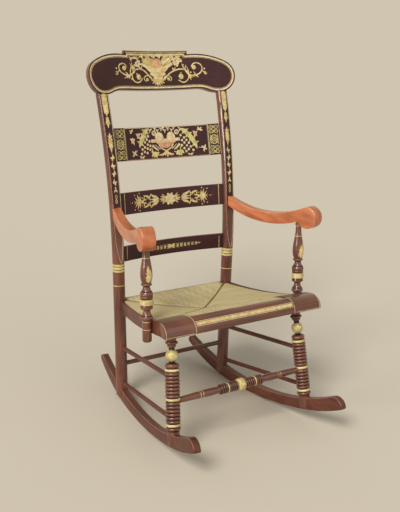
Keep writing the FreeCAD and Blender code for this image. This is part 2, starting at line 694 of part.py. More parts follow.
def support_profile():
    """Plain shaft, bell, two rings with a band between them, crown, flare, tall vase and collar."""
    ring = size.support_ring_half
    band = size.support_band_half
    steps = [(size.support_foot, size.support_radius - size.support_foot_ease),
             (size.support_foot + size.support_foot_ease, size.support_radius),
             (size.support_shaft_top, size.support_radius)]
    steps += bell(size.support_bell, size.support_bell_radius, size.support_waist, size.support_waist_radius)
    steps += bead(size.support_low_ring, size.support_ring_radius, size.support_waist_radius, ring)[:4]
    steps += [(size.support_band - band - 1, size.support_groove),
              (size.support_band - band, size.support_band_radius),
              (size.support_band + band, size.support_band_radius),
              (size.support_band + band + 1, size.support_groove)]
    steps += bead(size.support_high_ring, size.support_ring_radius, size.support_groove, ring)
    steps += bell(size.support_crown, size.support_crown_radius, size.support_throat,
                  size.support_waist_radius)
    steps += bead(size.support_flare, size.support_flare_radius, size.support_waist_radius, ring)[:4]
    steps += vase(size.support_flare + ring, size.support_vase_foot, size.support_vase,
                  size.support_vase_radius, size.support_vase_neck, size.support_vase_neck_radius)
    steps += bead(size.support_collar, size.support_collar_radius, size.support_stem,
                  size.support_collar_half)
    steps += [(size.support_top, size.support_stem), (size.support_top, size.support_tenon),
              (size.support_top + size.support_tenon_length, size.support_tenon)]
    return steps


def bell(height, radius, waist, waist_radius):
    """A bell on its rim: widest just above the rim, then a long hollow curve up to the waist."""
    rise = waist - height
    drop = radius - waist_radius
    return [(height - rise * 0.22, radius * 0.95), (height, radius), (height + rise * 0.3, radius - drop * 0.25),
            (height + rise * 0.6, radius - drop * 0.7), (waist, waist_radius)]


def vase(foot, foot_radius, belly, belly_radius, neck, neck_radius):
    """A tall vase: it swells from its foot to the belly and draws in slowly to the neck."""
    swell = belly - foot
    draw = neck - belly
    narrowing = belly_radius - neck_radius
    return [(foot, foot_radius), (foot + swell * 0.25, foot_radius + (belly_radius - foot_radius) * 0.6),
            (foot + swell * 0.6, foot_radius + (belly_radius - foot_radius) * 0.92), (belly, belly_radius),
            (belly + draw * 0.3, belly_radius - narrowing * 0.2),
            (belly + draw * 0.6, belly_radius - narrowing * 0.6), (neck, neck_radius)]


support_blank = turned("arm_support_blank", support_profile(),
                       at(V(size.support_x, size.support_y, 0)))
peg_start = V(size.support_x, size.support_y, size.roll_bottom + size.support_peg_rise)
peg_start += side_outward * (size.support_radius - 1)
support_peg = rod("support_peg_left", rest.multVec(peg_start),
                  rest.multVec(peg_start - side_outward * size.support_peg_length), "Sizes.peg_radius")

# Back slats and crest: bowed boards whose middles stand behind their ends.


def rounded(label, source, radius, keep):
    """A wooden piece with its chosen edges rounded over."""
    doc.recompute()
    chosen = [(index, radius, radius) for index, edge in enumerate(source.Shape.Edges, start=1)
              if keep(edge)]
    fillet = doc.addObject("Part::Fillet", label)
    fillet.Label = label
    fillet.Base = source
    fillet.Edges = chosen
    return fillet


def bowed(radius, thickness, half_chord, end_angle=None):
    """A band of constant thickness bowed backwards, its ends' middles on the across axis."""
    angle = math.asin(half_chord / radius)
    centre = -radius * math.cos(angle)
    front = radius - thickness / 2
    rear = radius + thickness / 2

    def point(reach, turned_by):
        return (reach * math.sin(turned_by), centre + reach * math.cos(turned_by), 0)

    return outline(point(front, -angle), (point(front, 0), point(front, angle)), point(rear, angle),
                   (point(rear, 0), point(rear, -angle)), point(front, -angle))


def slat(label, height_name, width_name):
    height = getattr(size, height_name)
    base, slope = post_frame(height)
    half_chord = base.x - size.post_radius + size.slat_tenon
    blank = padded(label + "_board", "XY", bowed(size.slat_radius, size.slat_thickness, half_chord),
                   "Sizes." + width_name, at(V(0, base.y, base.z), turn(ACROSS, -slope)))
    doc.recompute()

    def long_edge(edge):
        return edge.Length > half_chord

    return rounded(label, blank, size.slat_round, long_edge)


upper_slat = slat("upper_slat", "upper_slat_height", "upper_slat_width")
middle_slat = slat("middle_slat", "middle_slat_height", "middle_slat_width")
lower_slat = slat("lower_slat", "lower_slat_height", "lower_slat_width")


def crest_outline():
    """The crest's face: a tablet on rounded shoulders, with lobes that hang beyond the posts."""
    lobe = (size.crest_lobe_x, size.crest_lobe_height)
    lobe_radius = size.crest_lobe_radius
    shoulder = size.crest_shoulder
    shoulder_centre = (size.crest_shoulder_x, shoulder - size.crest_shoulder_radius)
    away = (lobe[0] - shoulder_centre[0], lobe[1] - shoulder_centre[1])
    distance = math.hypot(*away)
    join = tuple(lobe[i] + away[i] / distance * lobe_radius for i in (0, 1))
    shoulder_radius = distance + lobe_radius
    crown = (size.crest_shoulder_x, shoulder_centre[1] + shoulder_radius)
    shoulder_middle = arc_middle(shoulder_centre, shoulder_radius, crown, join)
    lobe_bottom = (lobe[0], lobe[1] - lobe_radius)
    lobe_side = (lobe[0] + lobe_radius, lobe[1])
    under = (size.crest_underside_x, size.crest_underside)
    turn_point = ((lobe_bottom[0] + under[0]) / 2, (lobe_bottom[1] + under[1]) / 2)
    run = lobe_bottom[0] - turn_point[0]
    rise = turn_point[1] - lobe_bottom[1]
    ogee = (run * run + rise * rise) / (2 * rise)
    outer_ogee = arc_middle((lobe_bottom[0], lobe_bottom[1] + ogee), ogee, lobe_bottom, turn_point)
    inner_ogee = arc_middle((under[0], under[1] - ogee), ogee, turn_point, under)
    right = [(size.tablet_half_width, size.tablet_height), (size.tablet_half_width, crown[1]), crown,
             (shoulder_middle, join), (lobe_side, lobe_bottom), (outer_ogee, turn_point),
             (inner_ogee, under)]

    def lifted(point, side):
        return (side * point[0], point[1], 0)

    steps = []
    for step in right[1:]:
        arc = isinstance(step[0], tuple)
        steps.append(tuple(lifted(p, 1) for p in step) if arc else lifted(step, 1))
    ends = [step[1] if isinstance(step[0], tuple) else step for step in right]
    steps.append(lifted(ends[-1], -1))
    for index in range(len(right) - 1, 0, -1):
        step = right[index]
        target = lifted(ends[index - 1], -1)
        arc = isinstance(step[0], tuple)
        steps.append((lifted(step[0], -1), target) if arc else target)
    start = lifted(right[0], 1)
    steps.append(start)
    return outline(start, *steps)


crest_place = at(V(0, crest_base.y, crest_base.z), turn(ACROSS, -crest_slope))
crest_half = size.crest_lobe_x + size.crest_lobe_radius + size.crest_spare
crest_end_sag = size.crest_radius - math.sqrt(size.crest_radius ** 2 - crest_half ** 2)
crest_set = place(V(0, crest_sag - crest_end_sag, 0))
crest_band = padded("crest_band", "XY", bowed(size.crest_radius, size.crest_thickness, crest_half),
                    "Sizes.tablet_height * 3", crest_place.multiply(crest_set))
crest_face = padded("crest_face", "XZ", crest_outline(), "Sizes.crest_thickness * 12", crest_place)
crest_board = common("crest_board", crest_band, crest_face)
bead_angle = math.degrees(math.asin((size.tablet_half_width + size.tablet_bead) / size.crest_radius))
tablet_bead = doc.addObject("Part::Torus", "tablet_bead")
bind(tablet_bead, Radius1="Sizes.crest_radius - Sizes.crest_thickness / 2 + Sizes.tablet_bead / 2",
     Radius2="Sizes.tablet_bead")
tablet_bead.Angle3 = 2 * bead_angle
bead_centre = V(0, crest_sag - size.crest_radius, size.tablet_height)
tablet_bead.Placement = crest_place.multiply(place(bead_centre, turn(UP, 90 - bead_angle)))
crest_blank = together("crest_blank", crest_board, tablet_bead)

crest_dowel_base, dowel_slope = post_frame(size.post_top)
post_up = turn(BACK, size.post_splay).multVec(turn(ACROSS, -dowel_slope).multVec(UP))
dowel_reach = post_up * size.crest_dowel_length
crest_dowel = rod("crest_dowel_left", rest.multVec(crest_dowel_base - dowel_reach),
                  rest.multVec(crest_dowel_base + dowel_reach), "Sizes.crest_dowel")

# Pegs lock each foot to the rocker that it straddles.

peg_across = turn(UP, size.rocker_toe).multVec(ACROSS)


def foot_peg(label, middle):
    reach = peg_across * size.rocker_peg_reach
    return rod(label, rest.multVec(middle - reach), rest.multVec(middle + reach), "Sizes.peg_radius")


front_peg = foot_peg("rocker_peg_front", leg_axis(size.front_peg_height))
rear_peg = foot_peg("rocker_peg_rear", post_point(size.rear_peg_height))
pegs_left = together("rocker_pegs_left", front_peg, rear_peg)

# Every piece that another one enters is cut by that one, so the two always meet face to face.

leg_right_blank = mirrored("front_leg_right_blank", leg_blank)
post_right_blank = mirrored("back_post_right_blank", post_blank)
rocker_piece = cut("rocker_left_drilled", rocker_left, pegs_left)
back_post_left = cut("back_post_left", post_blank, rocker_left, upper_stretcher, lower_stretcher,
                     rear_stretcher, rear_rail, side_rail, upper_slat, middle_slat, lower_slat, arm_dowel,
                     crest_blank, crest_dowel, rear_peg)
front_leg_left = cut("front_leg_left", leg_blank, rocker_left, upper_stretcher, lower_stretcher,
                     front_stretcher, front_peg)
front_roll_piece = cut("front_roll_seated", front_roll, leg_blank, leg_right_blank)
corner_block_left = cut("corner_block_left", corner_block_blank, leg_blank, support_peg, side_rail)
side_casing_left = cut("side_casing_left", casing_blank, post_blank, corner_block_blank, brads_left)
side_rail_left = cut("side_rail_left", side_rail, brads_left)
arm_left = cut("arm_left", arm_blank, post_blank, support_blank, arm_dowel)
arm_support_left = cut("arm_support_left", support_blank, corner_block_blank, casing_blank, support_peg)
crest_rail = cut("crest_rail", crest_blank, crest_dowel, mirrored("crest_dowel_right", crest_dowel))
rush_seat = cut("rush_seat", rush_blank, post_blank, post_right_blank, side_rail,
                mirrored("side_rail_right_blank", side_rail), front_rail, rear_rail, leg_blank,
                leg_right_blank, brads_left, mirrored("casing_brads_right", brads_left))

pieces = {
    "crest_rail": crest_rail, "upper_slat": upper_slat, "middle_slat": middle_slat,
    "lower_slat": lower_slat, "front_roll": front_roll_piece, "front_rail": front_rail,
    "rear_rail": rear_rail, "rush_seat": rush_seat, "front_stretcher": front_stretcher,
    "rear_stretcher": rear_stretcher,
}
paired = {
    "back_post": back_post_left, "front_leg": front_leg_left, "rocker": rocker_piece,
    "side_stretcher_upper": upper_stretcher, "side_stretcher_lower": lower_stretcher,
    "arm": arm_left, "arm_support": arm_support_left, "corner_block": corner_block_left,
    "side_casing": side_casing_left, "side_rail": side_rail_left,
}
for name, left in paired.items():
    pieces[name + "_left"] = left
    pieces[name + "_right"] = mirrored(name + "_right", left)
for name, left in {"rocker_pegs": pegs_left, "support_pegs": support_peg, "arm_dowels": arm_dowel,
                   "crest_dowels": crest_dowel, "casing_brads": brads_left}.items():
    pieces[name] = together(name, left, mirrored(name + "_mirror", left))

doc.recompute()

for thing in doc.Objects:
    if "Invalid" in thing.State or "Error" in thing.State:
        raise RuntimeError("%s could not be built" % thing.Name)
os.makedirs("parts", exist_ok=True)
for name, piece in pieces.items():
    piece.Label = name
    shape = piece.Shape
    if shape.isNull() or not shape.isValid() or not shape.Solids:
        raise RuntimeError("%s is not a sound solid" % name)
    shape.exportStep("parts/%s.step" % name)
print("%d pieces" % len(pieces))
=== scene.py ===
import math
import random

import bpy
from mathutils import Matrix, Vector
from mathutils.bvhtree import BVHTree


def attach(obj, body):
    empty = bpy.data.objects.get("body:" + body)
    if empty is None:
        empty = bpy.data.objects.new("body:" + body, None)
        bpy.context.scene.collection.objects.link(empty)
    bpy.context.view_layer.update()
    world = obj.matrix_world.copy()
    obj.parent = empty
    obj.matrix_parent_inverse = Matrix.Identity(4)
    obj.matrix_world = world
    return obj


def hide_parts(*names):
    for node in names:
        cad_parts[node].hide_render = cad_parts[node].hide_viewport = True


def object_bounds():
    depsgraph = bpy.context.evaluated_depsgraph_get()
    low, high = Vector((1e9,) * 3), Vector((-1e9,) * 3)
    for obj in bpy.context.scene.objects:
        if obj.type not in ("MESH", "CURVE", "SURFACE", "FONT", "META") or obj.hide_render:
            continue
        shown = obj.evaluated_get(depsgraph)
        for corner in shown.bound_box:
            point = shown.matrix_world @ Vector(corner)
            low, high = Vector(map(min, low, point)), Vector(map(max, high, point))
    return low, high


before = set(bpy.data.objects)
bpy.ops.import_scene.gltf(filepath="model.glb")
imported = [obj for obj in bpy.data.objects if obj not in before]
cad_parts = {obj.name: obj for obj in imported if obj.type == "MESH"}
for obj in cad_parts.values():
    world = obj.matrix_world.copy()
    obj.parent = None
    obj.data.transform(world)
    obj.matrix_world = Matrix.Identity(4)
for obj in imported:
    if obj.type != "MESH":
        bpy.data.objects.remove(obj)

cad_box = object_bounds()

# The chair is drawn level, in millimetres, as a maker sets it out. REST stands it on its rockers where it
# balances, in metres. Left and right are the sitter's: left is +X.

MM = 0.001
REST_LEAN = math.radians(9)
ROCKING_CENTRE = Vector((0, -51.494, 980.631))
CENTRING = Vector((0, 82.28, 0))
REST = (Matrix.Scale(MM, 4) @ Matrix.Translation(ROCKING_CENTRE + CENTRING)
        @ Matrix.Rotation(-REST_LEAN, 4, "X") @ Matrix.Translation(-ROCKING_CENTRE))
LEVEL = REST.inverted()
TURN = Matrix.Rotation(-REST_LEAN, 3, "X")
SIDES = {"left": 1, "right": -1}

# Camera: placed in the level chair, so it leans back with it.

CAMERA_TARGET = Vector((-11.65, 17.06, 502.7))
CAMERA_DISTANCE = 2778.8
CAMERA_AZIMUTH = math.radians(-35.27)
CAMERA_ELEVATION = math.radians(12.24)
CAMERA_LENS = 63.3


def only(*things):
    """Selects these objects and nothing else."""
    bpy.ops.object.select_all(action="DESELECT")
    for thing in things:
        thing.select_set(True)
    bpy.context.view_layer.objects.active = things[0]


def set_camera():
    out = math.cos(CAMERA_ELEVATION)
    back = Vector((math.sin(CAMERA_AZIMUTH) * out, -math.cos(CAMERA_AZIMUTH) * out,
                   math.sin(CAMERA_ELEVATION)))
    right = Vector((math.cos(CAMERA_AZIMUTH), math.sin(CAMERA_AZIMUTH), 0))
    up = back.cross(right)
    bpy.ops.object.camera_add()
    camera = bpy.context.object
    camera.name = "camera"
    camera.data.lens = CAMERA_LENS
    facing = TURN @ Matrix((right, up, back)).transposed()
    stand = REST @ (CAMERA_TARGET + back * CAMERA_DISTANCE)
    camera.matrix_world = Matrix.Translation(stand) @ facing.to_4x4()
    bpy.context.scene.camera = camera


set_camera()


# Shaders

def tone(red, green, blue):
    """A colour as the eye sees it, 0 to 255, turned to the light values that a shader takes."""
    def linear(value):
        share = value / 255
        return share / 12.92 if share <= 0.04045 else ((share + 0.055) / 1.055) ** 2.4
    return (linear(red), linear(green), linear(blue), 1)


class Link:
    """An output socket, on which arithmetic adds Math nodes."""

    def __init__(self, finish, socket):
        self.finish = finish
        self.socket = socket

    def __add__(self, other):
        return self.finish.maths("ADD", self, other)

    def __radd__(self, other):
        return self.finish.maths("ADD", other, self)

    def __sub__(self, other):
        return self.finish.maths("SUBTRACT", self, other)

    def __rsub__(self, other):
        return self.finish.maths("SUBTRACT", other, self)

    def __mul__(self, other):
        return self.finish.maths("MULTIPLY", self, other)

    def __rmul__(self, other):
        return self.finish.maths("MULTIPLY", other, self)

    def __truediv__(self, other):
        return self.finish.maths("DIVIDE", self, other)


class Finish:
    """A material: node() adds any node, feed() fills the shader's sockets."""

    def __init__(self, name, tree=None):
        if tree is None:
            self.material = bpy.data.materials.new(name)
            self.material.use_nodes = True
            tree = self.material.node_tree
        self.tree = tree
        self.shader = tree.nodes.get("Principled BSDF")

    def node(self, kind, inputs=(), output=0, stops=None, **settings):
        made = self.tree.nodes.new(kind)
        for name, value in settings.items():
            setattr(made, name, value)
        if stops:
            ramp = made.color_ramp.elements
            while len(ramp) < len(stops):
                ramp.new(1)
            for element, (position, colour) in zip(ramp, stops):
                element.position = position
                element.color = colour
        for key, value in dict(inputs).items():
            self.join(made.inputs[key], value)
        return Link(self, made.outputs[output]) if made.outputs else None

    def join(self, socket, value):
        if isinstance(value, Link):
            self.tree.links.new(value.socket, socket)
        else:
            socket.default_value = value

    def maths(self, operation, *values):
        return self.node("ShaderNodeMath", enumerate(values), operation=operation)

    def blend(self, share, first, second):
        """From one colour to another as share goes from 0 to 1."""
        return self.node("ShaderNodeMix", {0: share, 6: first, 7: second}, output=2, data_type="RGBA")

    def noise(self, at, scale, detail=3, roughness=0.5):
        return self.node("ShaderNodeTexNoise",
                         {"Vector": at, "Scale": scale, "Detail": detail, "Roughness": roughness})

    def step(self, value, low, high):
        """0 below low, 1 above high and smooth between them."""
        return self.node("ShaderNodeMapRange", {"Value": value, "From Min": low, "From Max": high},
                         interpolation_type="SMOOTHSTEP")

    def place(self, stretch=(1, 1, 1)):
        """The point in metres, stretched along each direction."""
        here = self.node("ShaderNodeTexCoord", output="Object")
        return self.node("ShaderNodeMapping", {"Vector": here, "Scale": stretch})

    def relief(self, height, depth):
        """A bumped normal; depth is in metres."""
        return self.node("ShaderNodeBump", {"Height": height, "Distance": depth})

    def feed(self, **sockets):
        for name, value in sockets.items():
            self.join(self.shader.inputs[name.replace("_", " ")], value)
        return self


def painted_wood(name, dark, light, grain, gloss=0.3, coat=0.8):
    """Japan paint rubbed thin over red under a clear varnish: streaks run along the grain."""
    finish = Finish(name)
    streaks = finish.noise(finish.place([5 if way == grain else 150 for way in "XYZ"]), 1, 5, 0.6)
    clouds = finish.noise(finish.place(), 7, 2)
    share = finish.step(streaks * 0.6 + clouds * 0.5, 0.35, 0.8)
    pores = finish.noise(finish.place([30 if way == grain else 900 for way in "XYZ"]), 1, 2)
    return finish.feed(Base_Color=finish.blend(share, dark, light),
                       Roughness=gloss + streaks * 0.1,
                       Specular_IOR_Level=0.3, Coat_Weight=coat, Coat_Roughness=0.13,
                       Normal=finish.relief(pores + streaks * 0.6, 0.00016))


BROWN = (tone(76, 37, 25), tone(120, 70, 49))
# The darkest brown is painted shade for the grooves and necks of the turned pieces.
GROOVE_SHADE = (tone(38, 17, 12), tone(52, 25, 18))
GROUND = (tone(46, 17, 20), tone(66, 30, 30))
# The pale edge tones are a painted highlight along rounded edges, where they catch the light.
EDGE_HIGHLIGHT = (tone(150, 100, 82), tone(196, 146, 122))
post_paint = painted_wood("brown_paint_upright", *BROWN, "Z")
rail_paint = painted_wood("brown_paint_across", *BROWN, "X")
rocker_paint = painted_wood("brown_paint_lengthways", tone(70, 33, 22), tone(108, 60, 40), "Y", gloss=0.4,
                            coat=0.25)
groove_shade_paint = painted_wood("painted_shade_in_grooves", *GROOVE_SHADE, "Z", gloss=0.45, coat=0.1)
crest_ground = painted_wood("dark_ground_across", *GROUND, "X", gloss=0.5, coat=0.1)
post_ground = painted_wood("dark_ground_upright", *GROUND, "Z", gloss=0.5, coat=0.1)
edge_highlight_paint = painted_wood("painted_highlight_at_edges", *EDGE_HIGHLIGHT, "Y", gloss=0.45, coat=0.2)


def mahogany_wood():
    """Orange-red varnished wood with fine dark pores along the arm."""
    finish = Finish("mahogany")
    bands = finish.noise(finish.place((55, 7, 45)), 1, 4, 0.55)
    pores = finish.noise(finish.place((700, 40, 900)), 1, 2)
    share = finish.step(bands, 0.25, 0.75)
    wood = finish.blend(share, tone(160, 84, 46), tone(200, 118, 70))
    streaked = finish.blend(finish.step(pores, 0.56, 0.74) * 0.22, wood, tone(124, 56, 32))
    return finish.feed(Base_Color=streaked, Roughness=0.3 + bands * 0.12, Coat_Weight=0.4,
                       Coat_Roughness=0.2, Normal=finish.relief(pores, 0.00015))


mahogany = mahogany_wood()
# Painted highlight: a pale line along the arms' rounded edges.
mahogany_edge_highlight = painted_wood("mahogany_painted_highlight_at_edges", tone(214, 150, 108), tone(240, 190, 150), "Y")


def bronze_powder(name, deep, bright, metal=0.25):
    """Bronze powder rubbed through a stencil on tacky varnish: it thins out in soft patches."""
    finish = Finish(name)
    patches = finish.noise(finish.place(), 90, 3, 0.6)
    specks = finish.noise(finish.place(), 1500, 2)
    share = finish.step(patches + specks * 0.3, 0.45, 0.85)
    return finish.feed(Base_Color=finish.blend(share, deep, bright), Metallic=metal,
                       Roughness=0.38 + specks * 0.2, Normal=finish.relief(specks, 0.0001))


gold = bronze_powder("gold_paint", tone(186, 158, 96), tone(228, 206, 146))
green_gold = bronze_powder("greenish_gold_paint", tone(172, 154, 92), tone(220, 202, 140), metal=0.2)
leaf_green = bronze_powder("green_leaf_paint", tone(172, 156, 84), tone(218, 204, 136), metal=0.1)
cream = bronze_powder("cream_paint", tone(198, 172, 124), tone(228, 208, 162), metal=0.1)
peach = bronze_powder("peach_paint", tone(190, 130, 92), tone(222, 172, 130), metal=0.0)
pear = bronze_powder("pear_paint", tone(164, 138, 70), tone(208, 184, 118), metal=0.1)
umber = bronze_powder("umber_paint", tone(96, 62, 40), tone(138, 100, 66), metal=0.0)

def bare_wood():
    finish = Finish("bare_wood")
    rings = finish.noise(finish.place((20, 200, 200)), 1, 5, 0.6)
    return finish.feed(Base_Color=finish.blend(rings, tone(150, 112, 74), tone(196, 160, 116)),
                       Roughness=0.6 + rings * 0.15, Normal=finish.relief(rings, 0.0002))


def brass():
    finish = Finish("brass")
    tarnish = finish.noise(finish.place(), 500, 3)
    return finish.feed(Base_Color=finish.blend(tarnish, tone(150, 112, 50), tone(206, 170, 92)),
                       Metallic=1.0, Roughness=0.3 + tarnish * 0.25)


plain_wood = bare_wood()
brad_brass = brass()


# Dressing the carried-over pieces

def carry(piece, slot, *nodes):
    """The piece rides with the chair and stands for the nodes named, which are hidden. slot is not used."""
    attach(piece, "root")
    if nodes:
        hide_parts(*nodes)
    return piece


def smooth(piece, angle=32):
    only(piece)
    bpy.ops.object.shade_smooth_by_angle(angle=math.radians(angle))


def dressed(node, finish, slot="painted_wood", ease=0.0, picked=(), angle=32, bands=(), carved=False):
    """A smooth copy of a node. ease rounds its sharp edges over by that many millimetres, and picked gives
    other finishes to the faces that a test on (place, normal) in the level chair chooses. Each of bands is
    (finish, axis, spans): its spans along the axis are cut in and get the finish. carved keeps easing full
    along curved boards, whose narrow facets would thin it out."""
    piece = bpy.data.objects.new(node + "_finished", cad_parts[node].data.copy())
    bpy.context.collection.objects.link(piece)
    only(piece)
    bpy.ops.mesh.customdata_custom_splitnormals_clear()
    bpy.ops.object.mode_set(mode="EDIT")
    bpy.ops.mesh.select_all(action="SELECT")
    bpy.ops.mesh.remove_doubles(threshold=0.00002)
    for other, axis, spans in bands:
        for height in sum(spans, ()):
            bpy.ops.mesh.select_all(action="SELECT")
            bpy.ops.mesh.bisect(plane_co=REST @ axis @ Vector((0, 0, height)),
                                plane_no=((REST @ axis).to_3x3() @ Vector((0, 0, 1))).normalized())
    bpy.ops.object.mode_set(mode="OBJECT")
    picked = list(picked) + [(other, between(axis, *spans)) for other, axis, spans in bands]
    if ease:
        bpy.ops.object.modifier_add(type="BEVEL")
        bevel = piece.modifiers[0]
        bevel.width = ease * MM
        bevel.segments = 3
        bevel.use_clamp_overlap = not carved
        bevel.limit_method = "ANGLE"
        bevel.angle_limit = math.radians(40)
        bpy.ops.object.modifier_apply(modifier=bevel.name)
    smooth(piece, angle)
    piece.data.materials.clear()
    piece.data.materials.append(finish.material)
    turn_back = LEVEL.to_3x3().normalized()
    for index, (other, chosen) in enumerate(picked, start=1):
        piece.data.materials.append(other.material)
        for face in piece.data.polygons:
            if chosen(LEVEL @ face.center, turn_back @ face.normal):
                face.material_index = index
    return carry(piece, slot, node)


# The axes of the turned pieces and rear posts, as matrices from each piece's own upright to the level chair

POST_BEND = 468
POST_BEND_RADIUS = 1950
POST_RAKE = math.radians(1.58)
POST_PLACE = (Matrix.Translation((198.8, 186.8, 0)) @ Matrix.Rotation(math.radians(1.5), 4, "Y")
              @ Matrix.Rotation(POST_RAKE, 4, "X"))
LEG_PLACE = (Matrix.Translation((252.4, -194, 0)) @ Matrix.Rotation(math.radians(-3.52), 4, "Y")
             @ Matrix.Rotation(math.radians(-6.9), 4, "X"))
SUPPORT_PLACE = Matrix.Translation((282.3, -104.3, 0))
STRETCHER_HEIGHT = 141


def post_bend_angle(height):
    return math.asin(max(height - POST_BEND, 0) / POST_BEND_RADIUS)


def post_base(height):
    """The left post's axis at a height, in the level chair, and how far it leans back there."""
    angle = post_bend_angle(height)
    setback = POST_BEND_RADIUS * (1 - math.cos(angle))
    return POST_PLACE @ Vector((0, setback, height)), angle - POST_RAKE


def sided(place, side):
    """The same place on either side of the chair."""
    return Matrix.Diagonal((SIDES[side], 1, 1, 1)) @ place


def between(place, *spans):
    """A test for faces whose height along a turned piece lies in one of the spans."""
    own = place.inverted()

    def chosen(point, normal):
        height = (own @ point).z
        return any(low <= height <= high for low, high in spans)
    return chosen


POST_BANDS = [(452, 458.6), (460.8, 467.8), (470, 477)]
POST_LINE = [(406.8, 409.2)]
SUPPORT_BANDS = [(418, 434)]
# Spans of painted shade in the grooves of the arm supports
SUPPORT_GROOVE_SHADE = [(384, 387), (403, 405), (412, 414), (435, 436.5), (443, 444.5), (455, 458), (470.5, 472.5)]
SUPPORT_LINES = [(344.2, 345.8), (367.4, 369), (552.2, 553.8), (584.5, 586)]
STRETCHER_AXIS = (Matrix.Translation((0, -201, STRETCHER_HEIGHT)) @ Matrix.Rotation(math.radians(90), 4, "Y"))
STRETCHER_LINES = [(-152, -150.4), (-143, -141.4), (141.4, 143), (150.4, 152)]
LEG_RING_START = 59
LEG_RING_PITCH = 181 / 17
LEG_GILT_RINGS = (1, 8, 16)
LEG_BALL = (259, 292)
STRETCHER_RING_PITCH = 8
STRETCHER_GILT_RINGS = (4,)


def grooves(start, pitch, count, half):
    """Where painted shade lies dark in the grooves between turned rings."""
    return [(start + pitch * ring - half, start + pitch * ring + half) for ring in range(count + 1)]


# Painted shade in the grooves between the stretcher's rings
def stretcher_groove_shade(point, normal):
    spans = grooves(15, STRETCHER_RING_PITCH, 8, 1.5)
    return any(low < abs(point.x) < high for low, high in spans)


def leg_gilding():
    rings = [(LEG_RING_START + LEG_RING_PITCH * (ring + 0.02),
              LEG_RING_START + LEG_RING_PITCH * (ring + 0.98))
             for ring in LEG_GILT_RINGS]
    return rings + [LEG_BALL]


def stretcher_gilt(point, normal):
    rings = [(15 + STRETCHER_RING_PITCH * ring, 15 + STRETCHER_RING_PITCH * (ring + 1))
             for ring in STRETCHER_GILT_RINGS]
    return abs(point.x) < 14 or any(low < abs(point.x) < high for low, high in rings)


def faces_sitter(point, normal):
    return normal.y < -0.85


def post_front(point, normal):
    return point.z > 640 and normal.y < -0.93


def edge_of_board(point, normal):
    """The rounded-over edge between a side and the top or underside, where a pale line is painted as a
    highlight.
    """
    return 0.5 < abs(normal.x) < 0.86 and abs(normal.z) > 0.3


dressed("crest_rail", rail_paint, ease=1.5, picked=[(crest_ground, faces_sitter)])
for name in ("upper_slat", "middle_slat", "lower_slat"):
    dressed(name, rail_paint, picked=[(crest_ground, faces_sitter)])
dressed("front_roll", rail_paint, ease=2)
dressed("front_stretcher", rail_paint, picked=[(green_gold, stretcher_gilt),
                                               (groove_shade_paint, stretcher_groove_shade)], angle=62,
        bands=[(gold, STRETCHER_AXIS, STRETCHER_LINES)])
dressed("rear_stretcher", rail_paint)
dressed("front_rail", plain_wood, "bare_wood")
dressed("rear_rail", plain_wood, "bare_wood")
for side in SIDES:
    dressed("back_post_" + side, post_paint, picked=[(post_ground, post_front)],
            bands=[(green_gold, sided(POST_PLACE, side), POST_BANDS),
                   (gold, sided(POST_PLACE, side), POST_LINE)])
    dressed("front_leg_" + side, post_paint,
            picked=[(green_gold, between(sided(LEG_PLACE, side), *leg_gilding())),
                    # Painted shade in the grooves between the leg's rings and in the necks beside the ball
                    # and cap
                    (groove_shade_paint, between(sided(LEG_PLACE, side),
                                           *grooves(LEG_RING_START, LEG_RING_PITCH, 17, 1.7),
                                           (253, 259), (294, 299), (307.5, 309.5)))], angle=62)
    dressed("rocker_" + side, rocker_paint, ease=1.6, picked=[(edge_highlight_paint, edge_of_board)], carved=True)
    dressed("side_stretcher_upper_" + side, rocker_paint)
    dressed("side_stretcher_lower_" + side, rocker_paint)
    dressed("arm_" + side, mahogany, "mahogany", ease=1.6, picked=[(mahogany_edge_highlight, edge_of_board)],
            carved=True)
    dressed("arm_support_" + side, post_paint, angle=50,
            picked=[(groove_shade_paint, between(sided(SUPPORT_PLACE, side), *SUPPORT_GROOVE_SHADE))],
            bands=[(green_gold, sided(SUPPORT_PLACE, side), SUPPORT_BANDS),
                   (gold, sided(SUPPORT_PLACE, side), SUPPORT_LINES)])
    dressed("corner_block_" + side, rocker_paint, ease=2)
    dressed("side_casing_" + side, rocker_paint, ease=1)
    dressed("side_rail_" + side, plain_wood, "bare_wood")
for name in ("arm_dowels", "crest_dowels"):
    dressed(name, plain_wood, "bare_wood")
for name in ("rocker_pegs", "support_pegs"):
    dressed(name, rocker_paint, "bare_wood")
dressed("casing_brads", brad_brass, "brads")

# Laying work on the wood. A Bed is the solid of a node in the level chair.

class Bed:
    """The surface of a carried-over solid, found by looking at it from outside."""

    def __init__(self, node):
        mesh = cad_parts[node].data
        points = [LEVEL @ vertex.co for vertex in mesh.vertices]
        self.tree = BVHTree.FromPolygons(points, [tuple(face.vertices) for face in mesh.polygons])

    def under(self, point, towards, reach=90):
        """Where the surface lies behind a point, looking along -towards."""
        hit = self.tree.ray_cast(point + towards * reach, -towards, 2 * reach)[0]
        return hit or self.tree.find_nearest(point)[0]


# The rush seat: twisted cords wound over the four rails. Cords from the front and rear rails run front to
# back, those from the side rails run across, and they meet at seams that run in from the corners.

CORD_PITCH = 4.8
CORD_RADIUS = 2.5
CORD_SIDES = 6
CORD_STEP = 9
CORD_TWIST = 6.6
SEAT_MEETING = (-45, -55)
SEAT_REAR_CORNER = (190, 164)
SEAT_FRONT_CORNER = (183, -98)
SEAT_FRONT = -167
SEAT_REAR = 189
SEAT_MIDDLE_HEIGHT = 348
SIDE_LINE = {"x": 213, "y": 168, "toe": math.radians(11.55), "casing": 9}
SEAT_PUFF = 2.2
SEAM_DIP = 3.2


def side_edge(y):
    """Half of the rush's width between the side casings."""
    return SIDE_LINE["x"] + (SIDE_LINE["y"] - y) * math.tan(SIDE_LINE["toe"]) - SIDE_LINE["casing"]


